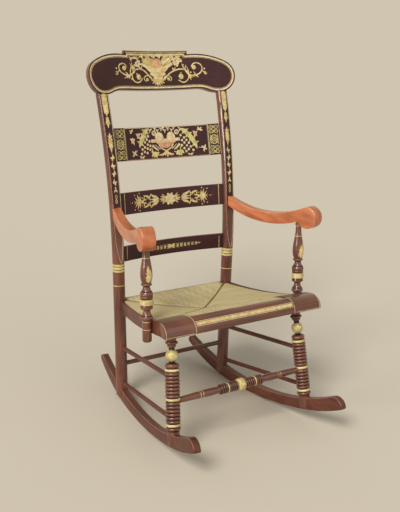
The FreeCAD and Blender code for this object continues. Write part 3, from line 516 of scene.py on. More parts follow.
def seam_y(x, corner):
    """Where the seam from a corner runs, at a place across the seat."""
    share = (abs(x - SEAT_MEETING[0])) / abs(math.copysign(corner[0], x - SEAT_MEETING[0]) - SEAT_MEETING[0])
    return SEAT_MEETING[1] + (corner[1] - SEAT_MEETING[1]) * min(share, 1)


def seam_x(y, side):
    """Where the seam of one side runs, at a place along the seat."""
    corner = SEAT_REAR_CORNER if y > SEAT_MEETING[1] else SEAT_FRONT_CORNER
    share = (y - SEAT_MEETING[1]) / (corner[1] - SEAT_MEETING[1])
    return SEAT_MEETING[0] + (side * corner[0] - SEAT_MEETING[0]) * share


def cord_runs():
    """Plan of every cord as (start at its seam, end at its rail)."""
    across = -SEAT_FRONT_CORNER[0] + CORD_PITCH / 2
    while across < SEAT_FRONT_CORNER[0]:
        yield Vector((across, seam_y(across, SEAT_FRONT_CORNER))), Vector((across, SEAT_FRONT))
        yield Vector((across, seam_y(across, SEAT_REAR_CORNER))), Vector((across, SEAT_REAR))
        across += CORD_PITCH
    back = SEAT_FRONT_CORNER[1] + CORD_PITCH / 2
    while back < SEAT_REAR_CORNER[1]:
        for side in SIDES.values():
            yield Vector((seam_x(back, side), back)), Vector((side * side_edge(back), back))
        back += CORD_PITCH


def cord_route(bed, start, end, above):
    """A cord's middle line on the top or the underside of the seat."""
    up = Vector((0, 0, 1 if above else -1))
    length = (end - start).length
    count = max(2, round(length / CORD_STEP))
    route = []
    for step in range(count + 1):
        share = step / count
        plan = start.lerp(end, share)
        lift = SEAT_PUFF * math.sin(math.pi * share) * min(1, length / 90)
        sunk = SEAM_DIP * math.exp(-share * length / 7) + SEAM_DIP * math.exp(-(1 - share) * length / 3)
        point = bed.under(Vector((plan.x, plan.y, SEAT_MIDDLE_HEIGHT)), up)
        route.append(point + up * (lift - sunk - CORD_RADIUS * 0.9))
    return route


def weave_seat():
    bed = Bed("rush_seat")
    chance = random.Random(7)
    points, faces, marks, tones = [], [], [], []
    for start, end in cord_runs():
        for above in (True, False):
            route = cord_route(bed, start, end, above)
            along = -sum((later - earlier).length for earlier, later in zip(route, route[1:]))
            phase = chance.random() * 0.12
            shade = chance.random()
            base = len(points)
            for index, point in enumerate(route):
                ahead = (route[min(index + 1, len(route) - 1)] - route[max(index - 1, 0)]).normalized()
                side = ahead.cross(Vector((0, 0, 1))).normalized()
                rise = side.cross(ahead)
                along += (point - route[max(index - 1, 0)]).length
                for turn in range(CORD_SIDES):
                    angle = 2 * math.pi * turn / CORD_SIDES
                    offset = side * math.cos(angle) + rise * math.sin(angle)
                    points.append(point + offset * CORD_RADIUS)
                if index:
                    here = base + index * CORD_SIDES
                    for turn in range(CORD_SIDES):
                        ahead_turn = (turn + 1) % CORD_SIDES
                        faces.append((here + turn - CORD_SIDES, here + ahead_turn - CORD_SIDES,
                                      here + ahead_turn, here + turn))
                        before = along - (point - route[index - 1]).length
                        marks += [(turn / CORD_SIDES, before / CORD_TWIST + phase),
                                  ((turn + 1) / CORD_SIDES, before / CORD_TWIST + phase),
                                  ((turn + 1) / CORD_SIDES, along / CORD_TWIST + phase),
                                  (turn / CORD_SIDES, along / CORD_TWIST + phase)]
                        tones.append(shade)
    mesh = bpy.data.meshes.new("rush_cords")
    mesh.from_pydata(points, [], faces)
    layer = mesh.uv_layers.new(name="twist")
    for place, mark in zip(layer.data, marks):
        place.uv = mark
    worn = mesh.attributes.new("cord_shade", "FLOAT", "FACE")
    for place, shade in zip(worn.data, tones):
        place.value = shade
    mesh.transform(REST)
    cords = bpy.data.objects.new("rush_cords", mesh)
    bpy.context.collection.objects.link(cords)
    cords.data.materials.append(rush_cord.material)
    only(cords)
    bpy.ops.object.mode_set(mode="EDIT")
    bpy.ops.mesh.select_all(action="SELECT")
    bpy.ops.mesh.normals_make_consistent(inside=False)
    bpy.ops.object.mode_set(mode="OBJECT")
    smooth(cords, 80)
    carry(cords, "rush", "rush_seat")


def stuff_seat():
    """The stuffing between the cords: the seat's solid drawn in all round."""
    core = dressed("rush_seat", rush_core, "rush")
    only(core)
    bpy.ops.object.mode_set(mode="EDIT")
    bpy.ops.mesh.select_all(action="SELECT")
    bpy.ops.transform.shrink_fatten(value=-2.6 * MM)
    bpy.ops.object.mode_set(mode="OBJECT")


def rush_cord_finish():
    """Cat-tail leaves twisted two-ply: the twist shows as slanting grooves, darkened with painted shade
    between the plies. Each cord has its own tone.
    """
    finish = Finish("rush_cord")
    twist = finish.node("ShaderNodeUVMap", uv_map="twist")
    around = finish.node("ShaderNodeSeparateXYZ", {0: twist})
    along = Link(finish, around.socket.node.outputs[1])
    ply = finish.maths("ABSOLUTE", finish.maths("SINE", (around + along) * math.pi))
    fibres = finish.noise(finish.place(), 700, 3)
    shade = finish.node("ShaderNodeAttribute", attribute_name="cord_shade", output=2)
    clouds = finish.noise(finish.place(), 14, 2)
    leaf = finish.blend(finish.step(shade * 0.35 + fibres * 0.35 + clouds * 0.5, 0.2, 1.0),
                        tone(200, 180, 124), tone(236, 218, 166))
    # Painted shade: the colour darkens in the grooves between the plies.
    groove_shaded = finish.blend(finish.step(ply, 0.2, 0.8), tone(96, 76, 36), leaf)
    return finish.feed(Base_Color=groove_shaded, Roughness=0.55 + fibres * 0.25,
                       Normal=finish.relief(ply * 0.8 + fibres * 0.2, 0.0009))


def rush_core_finish():
    finish = Finish("rush_stuffing")
    fibres = finish.noise(finish.place(), 400, 3)
    return finish.feed(Base_Color=finish.blend(fibres, tone(92, 76, 38), tone(132, 112, 62)),
                       Roughness=0.8 + fibres * 0.1)


rush_cord = rush_cord_finish()
rush_core = rush_core_finish()
stuff_seat()
weave_seat()


# Stencils and brushwork. A board maps (across, up) in millimetres to a place in the level chair and the way
# the paint looks out from there. Paint is laid on as strokes: each is a list of (across, up, half width).

class Board:
    def __init__(self, spot, node):
        self.spot = spot
        self.bed = Bed(node)

    def laid(self, across, up, lift):
        place, towards = self.spot(across, up)
        return self.bed.under(place, towards) + towards * lift


def back_board(height):
    """The face of the crest or a slat, up its lean."""
    base, lean = post_base(height)
    up = Vector((0, math.sin(lean), math.cos(lean)))
    towards = Vector((0, -math.cos(lean), math.sin(lean)))
    return lambda across, rise: (Vector((across, base.y, base.z)) + up * rise, towards)


def post_board(side):
    """The front flat of a post, by height along the post."""
    place = sided(POST_PLACE, side)

    def spot(across, height):
        angle = post_bend_angle(height)
        setback = POST_BEND_RADIUS * (1 - math.cos(angle))
        towards = place.to_3x3() @ Vector((0, -math.cos(angle), math.sin(angle)))
        return place @ Vector((across, setback, height)), towards.normalized()
    return spot


def support_board(side):
    """The front of a turned support."""
    place = sided(SUPPORT_PLACE, side)
    return lambda across, height: (place @ Vector((across, 0, height)), Vector((0, -1, 0)))


ROLL_BACK = -172
ROLL_RADIUS = 37
ROLL_AXIS = 344


def roll_board(across, along):
    """The seat's front roll: along runs up its front, round the nosing and back over the top."""
    quarter = ROLL_RADIUS * math.pi / 2
    if along < 0:
        return Vector((across, ROLL_BACK - ROLL_RADIUS, ROLL_AXIS + along)), Vector((0, -1, 0))
    angle = min(along, quarter) / ROLL_RADIUS
    towards = Vector((0, -math.cos(angle), math.sin(angle)))
    back = Vector((0, max(along - quarter, 0), 0))
    return Vector((across, ROLL_BACK, ROLL_AXIS)) + towards * ROLL_RADIUS + back, towards


# How far a stroke stands up in its middle, as a share of its half width
SWELL = 0.07


class Stencil:
    """Strokes gathered by finish, then laid on a board as one skin of paint."""

    def __init__(self, *finishes):
        self.finishes = finishes
        self.splines = []

    def stroke(self, finish, marks, smoothness=6):
        self.splines.append((self.finishes.index(finish), marks, smoothness))

    def line(self, finish, half, *points, tail=1.0):
        """A stroke of even width, or one that narrows to tail times its width."""
        last = len(points) - 1
        self.stroke(finish, [(across, up, half * (1 + (tail - 1) * index / last))
                             for index, (across, up) in enumerate(points)])

    def leaf(self, finish, half, start, end, bend=0.0):
        """A pointed petal from start to end, bent aside by a share of its length."""
        run = (end[0] - start[0], end[1] - start[1])
        middle = (start[0] + run[0] * 0.45 - run[1] * bend, start[1] + run[1] * 0.45 + run[0] * bend)
        self.stroke(finish, [(*start, half * 0.35), (*middle, half), (*end, half * 0.08)], 3)

    def dot(self, finish, radius, *spots, tall=1.0):
        """Round spots, or oval ones tall times as high as they are wide."""
        for across, up in spots:
            self.stroke(finish, [(across, up + radius * tall * share, radius * wide) for share, wide
                                 in ((-1, 0.1), (-0.72, 0.7), (0, 1), (0.72, 0.7), (1, 0.1))], 2)

    def sprig(self, finish, half, root, *tips):
        for tip in tips:
            self.leaf(finish, half, root, tip)

    def both(self, draw):
        """Draws on both halves: draw is given a function that places a point on its half."""
        for side in (1, -1):
            draw(lambda *points: [(side * across, up) for across, up in points], side)

    def lay(self, name, board, lift=0.14):
        bpy.ops.object.select_all(action="DESELECT")
        bpy.ops.curve.primitive_bezier_curve_add()
        paint = bpy.context.object
        paint.name = name
        curve = paint.data
        curve.splines.clear()
        for finish in self.finishes:
            curve.materials.append(finish.material)
        for material, marks, smoothness in self.splines:
            closed = marks[0] == marks[-1]
            marks = marks[:-1] if closed else marks
            spline = curve.splines.new("BEZIER")
            spline.bezier_points.add(len(marks) - 1)
            for point, (across, up, half) in zip(spline.bezier_points, marks):
                point.co = (across, up, 0)
                point.radius = half
                point.handle_left_type = point.handle_right_type = "AUTO"
            spline.use_cyclic_u = closed
            spline.resolution_u = smoothness
            spline.material_index = material
        curve.bevel_depth = 1
        curve.bevel_resolution = 1
        curve.use_fill_caps = True
        bpy.ops.object.convert(target="MESH")
        paint = bpy.context.object
        for vertex in paint.data.vertices:
            across, up, rise = vertex.co
            vertex.co = REST @ board.laid(across, up, lift + rise * SWELL)
        smooth(paint, 60)
        return carry(paint, "painted_wood")


# The crest: a bordered board with a compote of fruit between scrolls

CREST_LOBE = {"across": 219, "up": 50, "radius": 54}
CREST_CROWN = {"across": 140, "up": -81, "radius": 207}
CREST_FOOT = {"across": 219, "up": 89.7, "radius": 93.7}
CREST_WAIST = {"across": 141, "up": -80.7, "radius": 93.7}
TABLET = {"half": 114, "top": 132}


def crest_border(inset):
    """Half of a line that follows the crest's outline, inset millimetres inside it."""
    def arc(centre, outward, degrees):
        radius = centre["radius"] + outward * inset
        return [(centre["across"] + radius * math.cos(math.radians(turn)),
                 centre["up"] + radius * math.sin(math.radians(turn))) for turn in degrees]
    step = CREST_CROWN["up"] + CREST_CROWN["radius"] - inset
    edge = TABLET["half"] - inset
    tablet = [(0, TABLET["top"] - inset), (edge - 1, TABLET["top"] - inset),
              (edge, TABLET["top"] - inset - 1),
              (edge, step + 0.8), (edge + 0.8, step)]
    return (tablet + arc(CREST_CROWN, -1, (88, 76, 66)) + arc(CREST_LOBE, -1, (50, 25, 0, -25, -50, -75))
            + arc(CREST_FOOT, -1, (-95, -108)) + arc(CREST_WAIST, 1, (72, 82, 90)) + [(70, 13 + inset)])


def whole_border(half_line, width):
    left = [(-across, up) for across, up in reversed(half_line)]
    return [(across, up, width) for across, up in half_line + left]


crest = Stencil(gold, green_gold, leaf_green, cream, peach, pear, umber)
crest.stroke(cream, whole_border(crest_border(7), 2.5) + [(0, 125, 2.5)], 8)
crest.stroke(green_gold, whole_border(crest_border(11.6), 0.6) + [(0, 120.4, 0.6)], 8)
crest.line(green_gold, 1.3, (-113, 130.6), (0, 130.6), (113, 130.6))

# scrolls and their buds, drawn one by one as they were rubbed on
for points in ([(-21, 45), (-34, 60), (-52, 76), (-73, 79), (-92, 68), (-97, 51), (-87, 38), (-68, 40),
                (-59, 50)],
               [(23, 44), (41, 61), (67, 74), (91, 78), (109, 72), (116, 58), (108, 41), (92, 35), (76, 43)],
               [(-85, 71), (-108, 59), (-128, 62), (-143, 73), (-145, 86), (-132, 95), (-119, 92),
                (-116, 83)],
               [(106, 72), (118, 58), (140, 57), (160, 66), (165, 84), (154, 95), (139, 95), (128, 85)]):
    crest.line(gold, 2.5, *points, tail=0.7)
for points in ([(-20, 46), (-29, 56), (-43, 58), (-52, 48), (-45, 40)],
               [(20, 46), (29, 55), (43, 57), (51, 48), (45, 40)]):
    crest.line(gold, 1.8, *points, tail=0.7)
crest.dot(green_gold, 9, (-72, 54), (87, 54))
crest.dot(green_gold, 7.5, (-125, 81), (137, 82))
crest.dot(green_gold, 5.5, (-40, 46), (40, 47))
crest.dot(gold, 3, (-73, 56), (-126, 83), (86, 57), (136, 84), tall=1.4)
crest.dot(gold, 3, (-156, 79), (-157, 68), (173, 76), (174, 64))
crest.line(gold, 1.5, (-143, 73), (-150, 70), (-156, 60), (-162, 62))
crest.line(gold, 1.5, (160, 68), (168, 68), (175, 58), (180, 61))
for root, tips in (((-104, 61), ((-117, 50), (-110, 46), (-130, 48), (-98, 88))),
                   ((-90, 70), ((-101, 99), (-94, 104), (-84, 96))),
                   ((-112, 60), ((-122, 70), (-116, 48))),
                   ((118, 60), ((128, 46), (138, 50), (122, 40), (112, 88))),
                   ((104, 74), ((94, 97), (110, 92), (99, 84))), ((140, 57), ((150, 48), (134, 70))),
                   ((-60, 78), ((-66, 90), (-54, 90))), ((62, 73), ((60, 86), (72, 86)))):
    crest.sprig(gold, 2.4, root, *tips)
crest.dot(gold, 2.6, (-100, 47), (-84, 82), (100, 92), (124, 66), (88, 66), (-78, 64))

# the compote: rim, dish, stem and leafy foot
crest.stroke(gold, [(2, 84, 42), (2, 77, 38), (2, 72, 31), (2, 69, 27), (2, 67, 26)], 4)
crest.stroke(cream, [(2, 66, 30), (2, 61, 28), (2, 57, 21)], 4)
crest.stroke(gold, [(2, 57, 20), (2, 50, 17), (2, 46, 20)], 4)
for half, height in ((38, 76.5), (29, 66.6), (24, 58), (18, 50.5)):
    crest.line(umber, 0.9, (2 - half, height + 1.5), (2, height - 1), (2 + half, height + 1.5))
crest.line(cream, 1.2, (-26, 63.5), (2, 61), (30, 63.5))
crest.line(cream, 4.6, (-55, 97), (-42, 89), (-22, 84), (2, 82), (26, 84), (46, 89), (60, 97))
crest.line(umber, 0.7, (-50, 89.5), (-22, 80), (2, 78), (26, 80), (54, 89.5))
crest.line(umber, 0.5, (-52, 98), (-38, 91), (-20, 87), (2, 85), (24, 87), (43, 91), (56, 98))
crest.sprig(gold, 4.5, (0, 47), (-25, 42), (-23, 33), (-13, 28), (-4, 24), (6, 25), (16, 29), (24, 34),
            (25, 43))
crest.dot(green_gold, 4, (-1, 40), tall=1.5)

# fruit
crest.stroke(pear, [(-52, 110, 3), (-42, 105, 8.5), (-28, 97, 10.5), (-14, 91, 9), (-8, 88, 3)], 5)
crest.stroke(pear, [(-38, 117, 2.5), (-28, 112, 7), (-16, 103, 8), (-6, 97, 3)], 5)
crest.stroke(peach, [(-22, 101, 4), (-14, 106, 7.5), (-6, 106, 5)], 4)
crest.dot(peach, 15.5, (6, 98))
crest.dot(cream, 5, (1, 103), tall=0.7)
crest.stroke(pear, [(64, 112, 2), (50, 103, 5), (34, 93, 6), (20, 88, 2.5)], 5)
crest.stroke(cream, [(60, 117, 1.5), (46, 110, 4), (32, 100, 5), (22, 95, 1.5)], 5)
crest.stroke(pear, [(50, 122, 1.5), (36, 116, 5), (26, 107, 5.5), (20, 102, 1.5)], 5)
crest.line(green_gold, 0.7, (62, 113), (46, 105), (30, 96), (20, 91))
crest.line(green_gold, 0.7, (54, 119), (40, 112), (28, 103), (20, 98))
crest.line(peach, 0.7, (-48, 107), (-34, 99), (-18, 92))

# grapes at both ends of the dish
crest.dot(cream, 4.2, (-76, 98), (-69, 103), (-66, 95), (-73, 90), (-80, 91), (-63, 103), (-68, 88),
          (-61, 95))
crest.dot(cream, 4.2, (66, 110), (74, 112), (82, 110), (70, 103), (78, 104), (86, 103), (74, 96), (82, 97),
          (90, 110), (78, 90), (70, 94), (94, 104), (66, 100))
crest.dot(green_gold, 1.3, *[(across - 1, up + 1) for across, up in
                             ((-76, 98), (-69, 103), (-66, 95), (66, 110), (74, 112), (70, 103), (78, 104),
                              (86, 103))])

# leaves along the tablet
for across, up, tips in ((-92, 112, ((-100, 118), (-95, 103), (-82, 116))),
                         (-74, 112, ((-84, 119), (-70, 120), (-64, 110))),
                         (-52, 117, ((-62, 122), (-46, 123), (-44, 113))),
                         (-30, 119, ((-40, 122), (-20, 122), (-26, 111))),
                         (-6, 117, ((-16, 122), (2, 123), (-2, 112))),
                         (14, 118, ((6, 123), (22, 123), (18, 112))),
                         (38, 120, ((28, 122), (48, 123), (44, 114))),
                         (60, 118, ((52, 123), (70, 123), (66, 112))),
                         (82, 117, ((74, 122), (94, 120), (88, 108)))):
    crest.sprig(green_gold if across % 4 else gold, 3, (across, up), *tips)
crest.line(gold, 0.9, (-100, 108), (-92, 112), (-74, 112), (-60, 116))
crest.line(gold, 0.9, (98, 108), (88, 114), (74, 116), (56, 118))
crest.lay("crest_stencil", Board(back_board(993), "crest_rail"))


# The upper slat: an urn of fruit between oak leaves and grapes, with a panel of fretwork at each end

SLAT_HEIGHTS = {"upper_slat": 840, "middle_slat": 659.5, "lower_slat": 503.5}
upper = Stencil(gold, green_gold, leaf_green, cream, peach, umber)


def fretwork(own, side):
    upper.line(green_gold, 1.1, *own((159, -49), (159, 49)))
    upper.line(green_gold, 0.6, *own((156, -49), (156, 49)))
    upper.line(green_gold, 0.8, *own((198, -49), (198, 49)))
    for height in (40, 26, -26, -40):
        for across in (169, 187):
            ring = [(across + 6 * math.cos(turn), height + 5.6 * math.sin(turn))
                    for turn in (0, 1.05, 2.1, 3.15, 4.2, 5.25)]
            upper.line(green_gold, 1.0, *own(*ring, ring[0]))
            upper.dot(green_gold, 1.6, *own((across, height)))
        upper.line(green_gold, 0.9, *own((173, height + 5), (178, height), (173, height - 5)))
        upper.line(green_gold, 0.9, *own((183, height + 5), (178, height), (183, height - 5)))
    for start in (-16, -8, 0, 8):
        upper.line(green_gold, 0.9, *own((163, start), (178, start + 16 if start < 8 else 16)))
        upper.line(green_gold, 0.9, *own((193, start), (178, start + 16 if start < 8 else 16)))
        upper.line(green_gold, 0.9, *own((163, -start), (178, -start - 16 if start < 8 else -16)))
        upper.line(green_gold, 0.9, *own((193, -start), (178, -start - 16 if start < 8 else -16)))
    upper.dot(green_gold, 2.2, *own((178, 0), (166, 0), (190, 0)))


upper.both(fretwork)
upper.line(cream, 0.8, (-156, 49.3), (0, 49.3), (156, 49.3))
upper.line(peach, 0.7, (-156, -49.3), (0, -49.3), (156, -49.3))

# fruit and flowers over the urn
for across in (-23, 21):
    upper.dot(cream, 16.5, (across, 17))
    upper.dot(umber, 3.6, (across - 3, 25), tall=0.5)
    upper.line(umber, 0.9, (across - 12, 24), (across - 3, 20), (across + 8, 25))
    upper.line(peach, 1.5, (across - 13, 12), (across, 8), (across + 12, 12))
for across, up in ((-42, 31), (44, 32)):
    ring = [(across + 6.5 * math.cos(turn), up + 6 * math.sin(turn))
            for turn in (0, 1.05, 2.1, 3.15, 4.2, 5.25)]
    upper.line(cream, 2.2, *ring, ring[0])
    upper.dot(gold, 2.4, (across, up))
for across, up in ((-28, 38), (-14, 42), (0, 37), (12, 43), (26, 38), (-6, 46), (34, 46), (-38, 44)):
    upper.sprig(cream, 2.4, (across, up), (across - 6, up + 6), (across + 6, up + 5), (across, up - 7))
upper.sprig(cream, 2.6, (-56, 40), (-64, 46), (-60, 32), (-48, 46))
upper.sprig(cream, 2.6, (58, 42), (66, 34), (50, 47), (54, 33))

# the urn
upper.stroke(peach, [(0, 4, 38), (0, -2, 33), (0, -8, 24), (0, -14, 14), (0, -18, 5)], 5)
upper.stroke(cream, [(0, 3, 39), (0, 0, 36)], 3)
upper.line(cream, 5, (-56, 6.5), (0, 7.5), (54, 8.5))
upper.dot(umber, 1.5, *[(across, 7.4) for across in range(-50, 53, 8)], tall=1.5)
upper.line(gold, 2.4, (-27, -6), (-16, -18), (0, -27), (14, -36), (26, -39))
upper.line(gold, 2.4, (28, -6), (17, -18), (0, -27), (-13, -36), (-26, -39))
upper.sprig(gold, 3, (0, -28), (-20, -44), (-7, -43), (7, -43), (20, -44))
for side in (-1, 1):
    upper.line(cream, 4.4, (side * 52, -7), (side * 42, -16), (side * 30, -24), tail=0.4)
    upper.line(umber, 0.9, (side * 51, -9), (side * 42, -18), (side * 32, -24))
    upper.line(gold, 1.4, (side * 56, -14), (side * 50, -28), (side * 36, -32), (side * 28, -30))
    upper.line(cream, 1.6, (side * 22, -20), (side * 32, -14), (side * 40, -6), tail=0.6)

# oak leaves, blossoms and grapes on each side
for side, leaf in ((-1, ((62, 46), (74, 38), (82, 26), (90, 14), (96, 2), (103, -10))),
                   (1, ((60, 42), (74, 34), (86, 22), (98, 8), (108, -8), (115, -26)))):
    points = [(side * across, up) for across, up in leaf]
    upper.stroke(leaf_green, [(*place, half) for place, half in zip(points, (2, 7, 7.5, 8, 7, 2))], 4)
    for index, (across, up) in enumerate(points[1:5]):
        upper.leaf(leaf_green, 3.6, (across, up), (across + side * 15, up + 6))
        upper.leaf(leaf_green, 3.6, (across, up), (across - side * 11, up - 10))
        upper.leaf(leaf_green, 3, (across, up), (across + side * 6, up - 16))
    upper.line(gold, 0.8, *points)
upper.dot(peach, 7, (-127, 11), (-104, 26), (112, 24))
upper.sprig(cream, 3.6, (-127, 10), (-138, 17), (-133, 2), (-118, 16), (-122, -4), (-130, 20))
upper.sprig(cream, 3.4, (-104, 24), (-114, 32), (-96, 34), (-108, 15))
upper.sprig(cream, 3.4, (112, 22), (104, 33), (120, 30), (118, 15), (108, 12))
upper.sprig(cream, 3.2, (128, 34), (122, 46), (137, 43), (140, 32), (118, 36))
upper.sprig(cream, 3.2, (-128, 38), (-138, 42), (-124, 47), (-136, 32))
upper.sprig(cream, 3.2, (140, -26), (130, -18), (146, -14), (150, -30), (138, -38))
upper.sprig(cream, 3, (-124, -30), (-134, -22), (-118, -20), (-132, -40), (-114, -36))
upper.line(cream, 0.8, (-112, -20), (-124, -30), (-134, -36))
upper.line(cream, 0.8, (120, -22), (140, -26), (148, -32))
for spots in (((-72, 12), (-80, 4), (-62, 6), (-70, -4), (-82, -12), (-60, -8), (-72, -16), (-92, -18),
               (-84, -26),
               (-62, -20), (-74, -30), (-96, -32), (-54, -28), (-66, 22)),
              ((70, 12), (62, 4), (78, 4), (70, -4), (86, -6), (60, -12), (78, -14), (92, -18), (68, -22),
               (84, -26),
               (100, -30), (74, -32), (58, 20))):
    upper.dot(cream, 4.3, *spots)
    upper.dot(peach, 1.6, *[(across + 1.4, up - 1.4) for across, up in spots])
for across, up in ((-44, -38), (50, -36)):
    upper.stroke(leaf_green, [(across - 14, up - 4, 1.5), (across - 4, up + 2, 7), (across + 8, up + 3, 6),
                              (across + 16, up - 2, 1)], 4)
    upper.sprig(leaf_green, 3.2, (across, up), (across - 10, up + 11), (across + 2, up + 13),
                (across + 13, up + 10),
                (across - 6, up - 9), (across + 8, up - 9))
upper.dot(peach, 4, (3, -42), (-100, -43), (92, -43))
upper.sprig(cream, 2.6, (-94, -44), (-106, -38), (-84, -38), (-90, -48))
upper.sprig(cream, 2.6, (88, -44), (78, -39), (100, -39))
upper.lay("upper_slat_stencil", Board(back_board(SLAT_HEIGHTS["upper_slat"]), "upper_slat"))


# The middle slat: a rosette between tulips, scrolls and palmettes

middle = Stencil(gold, green_gold, cream, peach)
for petal in range(8):
    turn = math.radians(petal * 45 + 22.5)
    middle.stroke(cream if petal % 2 else gold,
                  [(3 * math.cos(turn), 3 * math.sin(turn), 2.5),
                   (15 * math.cos(turn), 13 * math.sin(turn), 6.2),
                   (22 * math.cos(turn), 20 * math.sin(turn), 2.6)], 4)
    middle.line(green_gold, 0.6, (5 * math.cos(turn), 5 * math.sin(turn)),
                (16 * math.cos(turn), 14 * math.sin(turn)))
middle.dot(green_gold, 5, (0, 0))
middle.dot(cream, 2.2, (0, 0))


def spray(own, side):
    """Half of the middle slat's pattern, from the rosette outwards."""
    middle.line(gold, 0.9, *own((180, -33), (180, 33)))
    for tip in ((40, 3), (37, 11), (30, 18), (38, -6), (31, -15), (42, 0)):
        middle.leaf(gold, 2.6, *own((20, tip[1] * 0.4), tip))
    for bend in (-1, 1):
        middle.stroke(gold, [(*own((44, bend * 2))[0], 2.5), (*own((55, bend * 10))[0], 4.6),
                             (*own((66, bend * 14))[0], 3.6), (*own((75, bend * 22))[0], 0.8)], 5)
        middle.stroke(cream, [(*own((48, 0))[0], 1.5), (*own((60, bend * 3.4))[0], 3),
                              (*own((76, bend * 4))[0], 0.8)], 4)
        middle.line(gold, 2.2, *own((76, bend * 2), (82, bend * 12), (92, bend * 17), (101, bend * 12),
                                    (98, bend * 5), (92, bend * 7)), tail=0.7)
        middle.leaf(gold, 3, *own((84, bend * 6), (106, bend * 19)), bend * side * 0.2)
        middle.leaf(gold, 2.4, *own((80, bend * 9), (74, bend * 21)))
        for tip, half in (((128, 25), 3.4), ((138, 16), 3.6), ((142, 5), 3), ((117, 20), 2.6)):
            middle.leaf(gold, half, *own((111, bend * 1.5), (tip[0], bend * tip[1])),
                        bend * side * -0.18)
        middle.dot(gold, 2.2, *own((109, bend * 12), (120, bend * 27), (139, bend * 23)))
        middle.line(gold, 1.2, *own((96, bend * 3), (106, bend * 5), (112, 0)))
    middle.dot(gold, 3.4, *own((106, 0)), tall=1.2)
    middle.dot(gold, 1.8, *own((149, 0)))
    middle.dot(gold, 1.2, *own((156, 0)))
    middle.line(green_gold, 0.6, *own((46, 0), (70, 0)))


middle.both(spray)
middle.lay("middle_slat_stencil", Board(back_board(SLAT_HEIGHTS["middle_slat"]), "middle_slat"))


# The lower slat: a short running border of leaves

lower = Stencil(gold, green_gold)


def leaf_border(own, side):
    lower.line(green_gold, 0.9, *own((178, -23), (178, 23)))
    for step in range(1, 8):
        across = 14 * step
        size = 1 - step * 0.05
        for bend in (-1, 1):
            lower.leaf(green_gold, 2.2 * size, *own((across - 8, 0), (across + 2, bend * 9 * size)))
            lower.leaf(green_gold, 1.6 * size, *own((across - 2, 0), (across - 9, bend * 8 * size)))
        lower.dot(gold if step % 3 == 0 else green_gold, 2.4 * size, *own((across, 0)))
    lower.leaf(green_gold, 2, *own((100, 0), (112, 0)))
    for tip in ((10, 8), (14, 0), (10, -8)):
        lower.leaf(gold, 3, (0, 0), own(tip)[0])


lower.both(leaf_border)
lower.dot(gold, 4, (0, 0))
lower.lay("lower_slat_stencil", Board(back_board(SLAT_HEIGHTS["lower_slat"]), "lower_slat"))


# The posts: a long leaf, bellflowers and a trail of small leaves, between lines that meet in a point

def post_stencil(side):
    post = Stencil(gold, green_gold, leaf_green, cream, umber, peach)
    post.stroke(gold, [(0, 990, 5.5), (0, 978, 8), (0, 955, 8.5), (0, 938, 6), (0, 925, 1)], 6)
    for step in range(7):
        height = 935 + step * 8
        reach = 9 + min(step, 3) * 0.6
        for way in (-1, 1):
            post.leaf(green_gold, 2.6, (way * 2, height - 4), (way * reach, height + 6))
    post.line(umber, 0.7, (0, 986), (0, 955), (0, 930))
    for way in (-1, 1):
        post.line(umber, 0.6, (way * 3, 934), (way * 5, 955), (way * 4, 980))
    post.stroke(gold, [(0, 924, 0.8), (0, 915, 5), (0, 905, 6.8), (0, 898, 3), (0, 890, 0.6)], 4)
    post.sprig(green_gold, 2.6, (0, 918), (-8, 900), (8, 900), (-6, 921), (6, 921))
    post.stroke(gold, [(0, 876, 0.8), (0, 862, 5), (0, 846, 7.2), (0, 832, 5), (0, 818, 0.8)], 5)
    for height in (868, 858, 848, 838):
        post.sprig(green_gold, 2.4, (0, height - 6), (-9, height), (9, height))
    post.line(umber, 0.6, (0, 870), (0, 845), (0, 824))
    for step, height in enumerate((802, 778, 755, 729)):
        lean = 3 if step % 2 else -3
        post.sprig(cream if step % 2 else gold, 3.2, (lean / 2, height - 2), (lean, height + 9),
                   (-8, height + 1),
                   (8, height + 1), (-lean, height - 10))
        post.line(green_gold, 0.7, (0, height + 14), (lean, height + 5))
    post.sprig(gold, 3, (0, 707), (0, 716), (-6, 698), (6, 698))
    post.line(leaf_green, 0.9, (0, 692), (-3, 684), (0, 678), (3, 672), (0, 664))
    post.line(leaf_green, 0.9, (0, 692), (3, 684), (0, 678), (-3, 672), (0, 664))
    # The edge lines of the flat are real striping. The one on the side the key sun lights is peach instead of
    # cream, as a painted highlight.
    for way in (-1, 1):
        post.line(peach if way == -SIDES[side] else cream, 0.7, (way * 13.6, 988), (way * 13.6, 800),
                  (way * 13.6, 640),
                  (way * 12.4, 560), (way * 9.5, 520), (way * 5, 495), (way * 1, 481))
    post.lay("post_stencil_" + side, Board(post_board(side), "back_post_" + side))


def support_stencil(side):
    vase = Stencil(gold, green_gold)
    vase.stroke(gold, [(0, 483, 3), (1, 492, 8), (0, 504, 8.5), (2, 518, 5), (4, 532, 0.8)], 5)
    vase.sprig(gold, 3, (0, 492), (-12, 500), (12, 500), (-11, 491), (10, 489))
    vase.sprig(gold, 3, (0, 504), (-11, 512), (11, 513), (-6, 522), (8, 524))
    vase.line(green_gold, 0.7, (0, 486), (0, 505), (3, 526))
    vase.lay("support_stencil_" + side, Board(support_board(side), "arm_support_" + side))


for side in SIDES:
    post_stencil(side)
    support_stencil(side)


# The front roll: a gilt stripe of leaves between fine lines, and outlines on the corner blocks

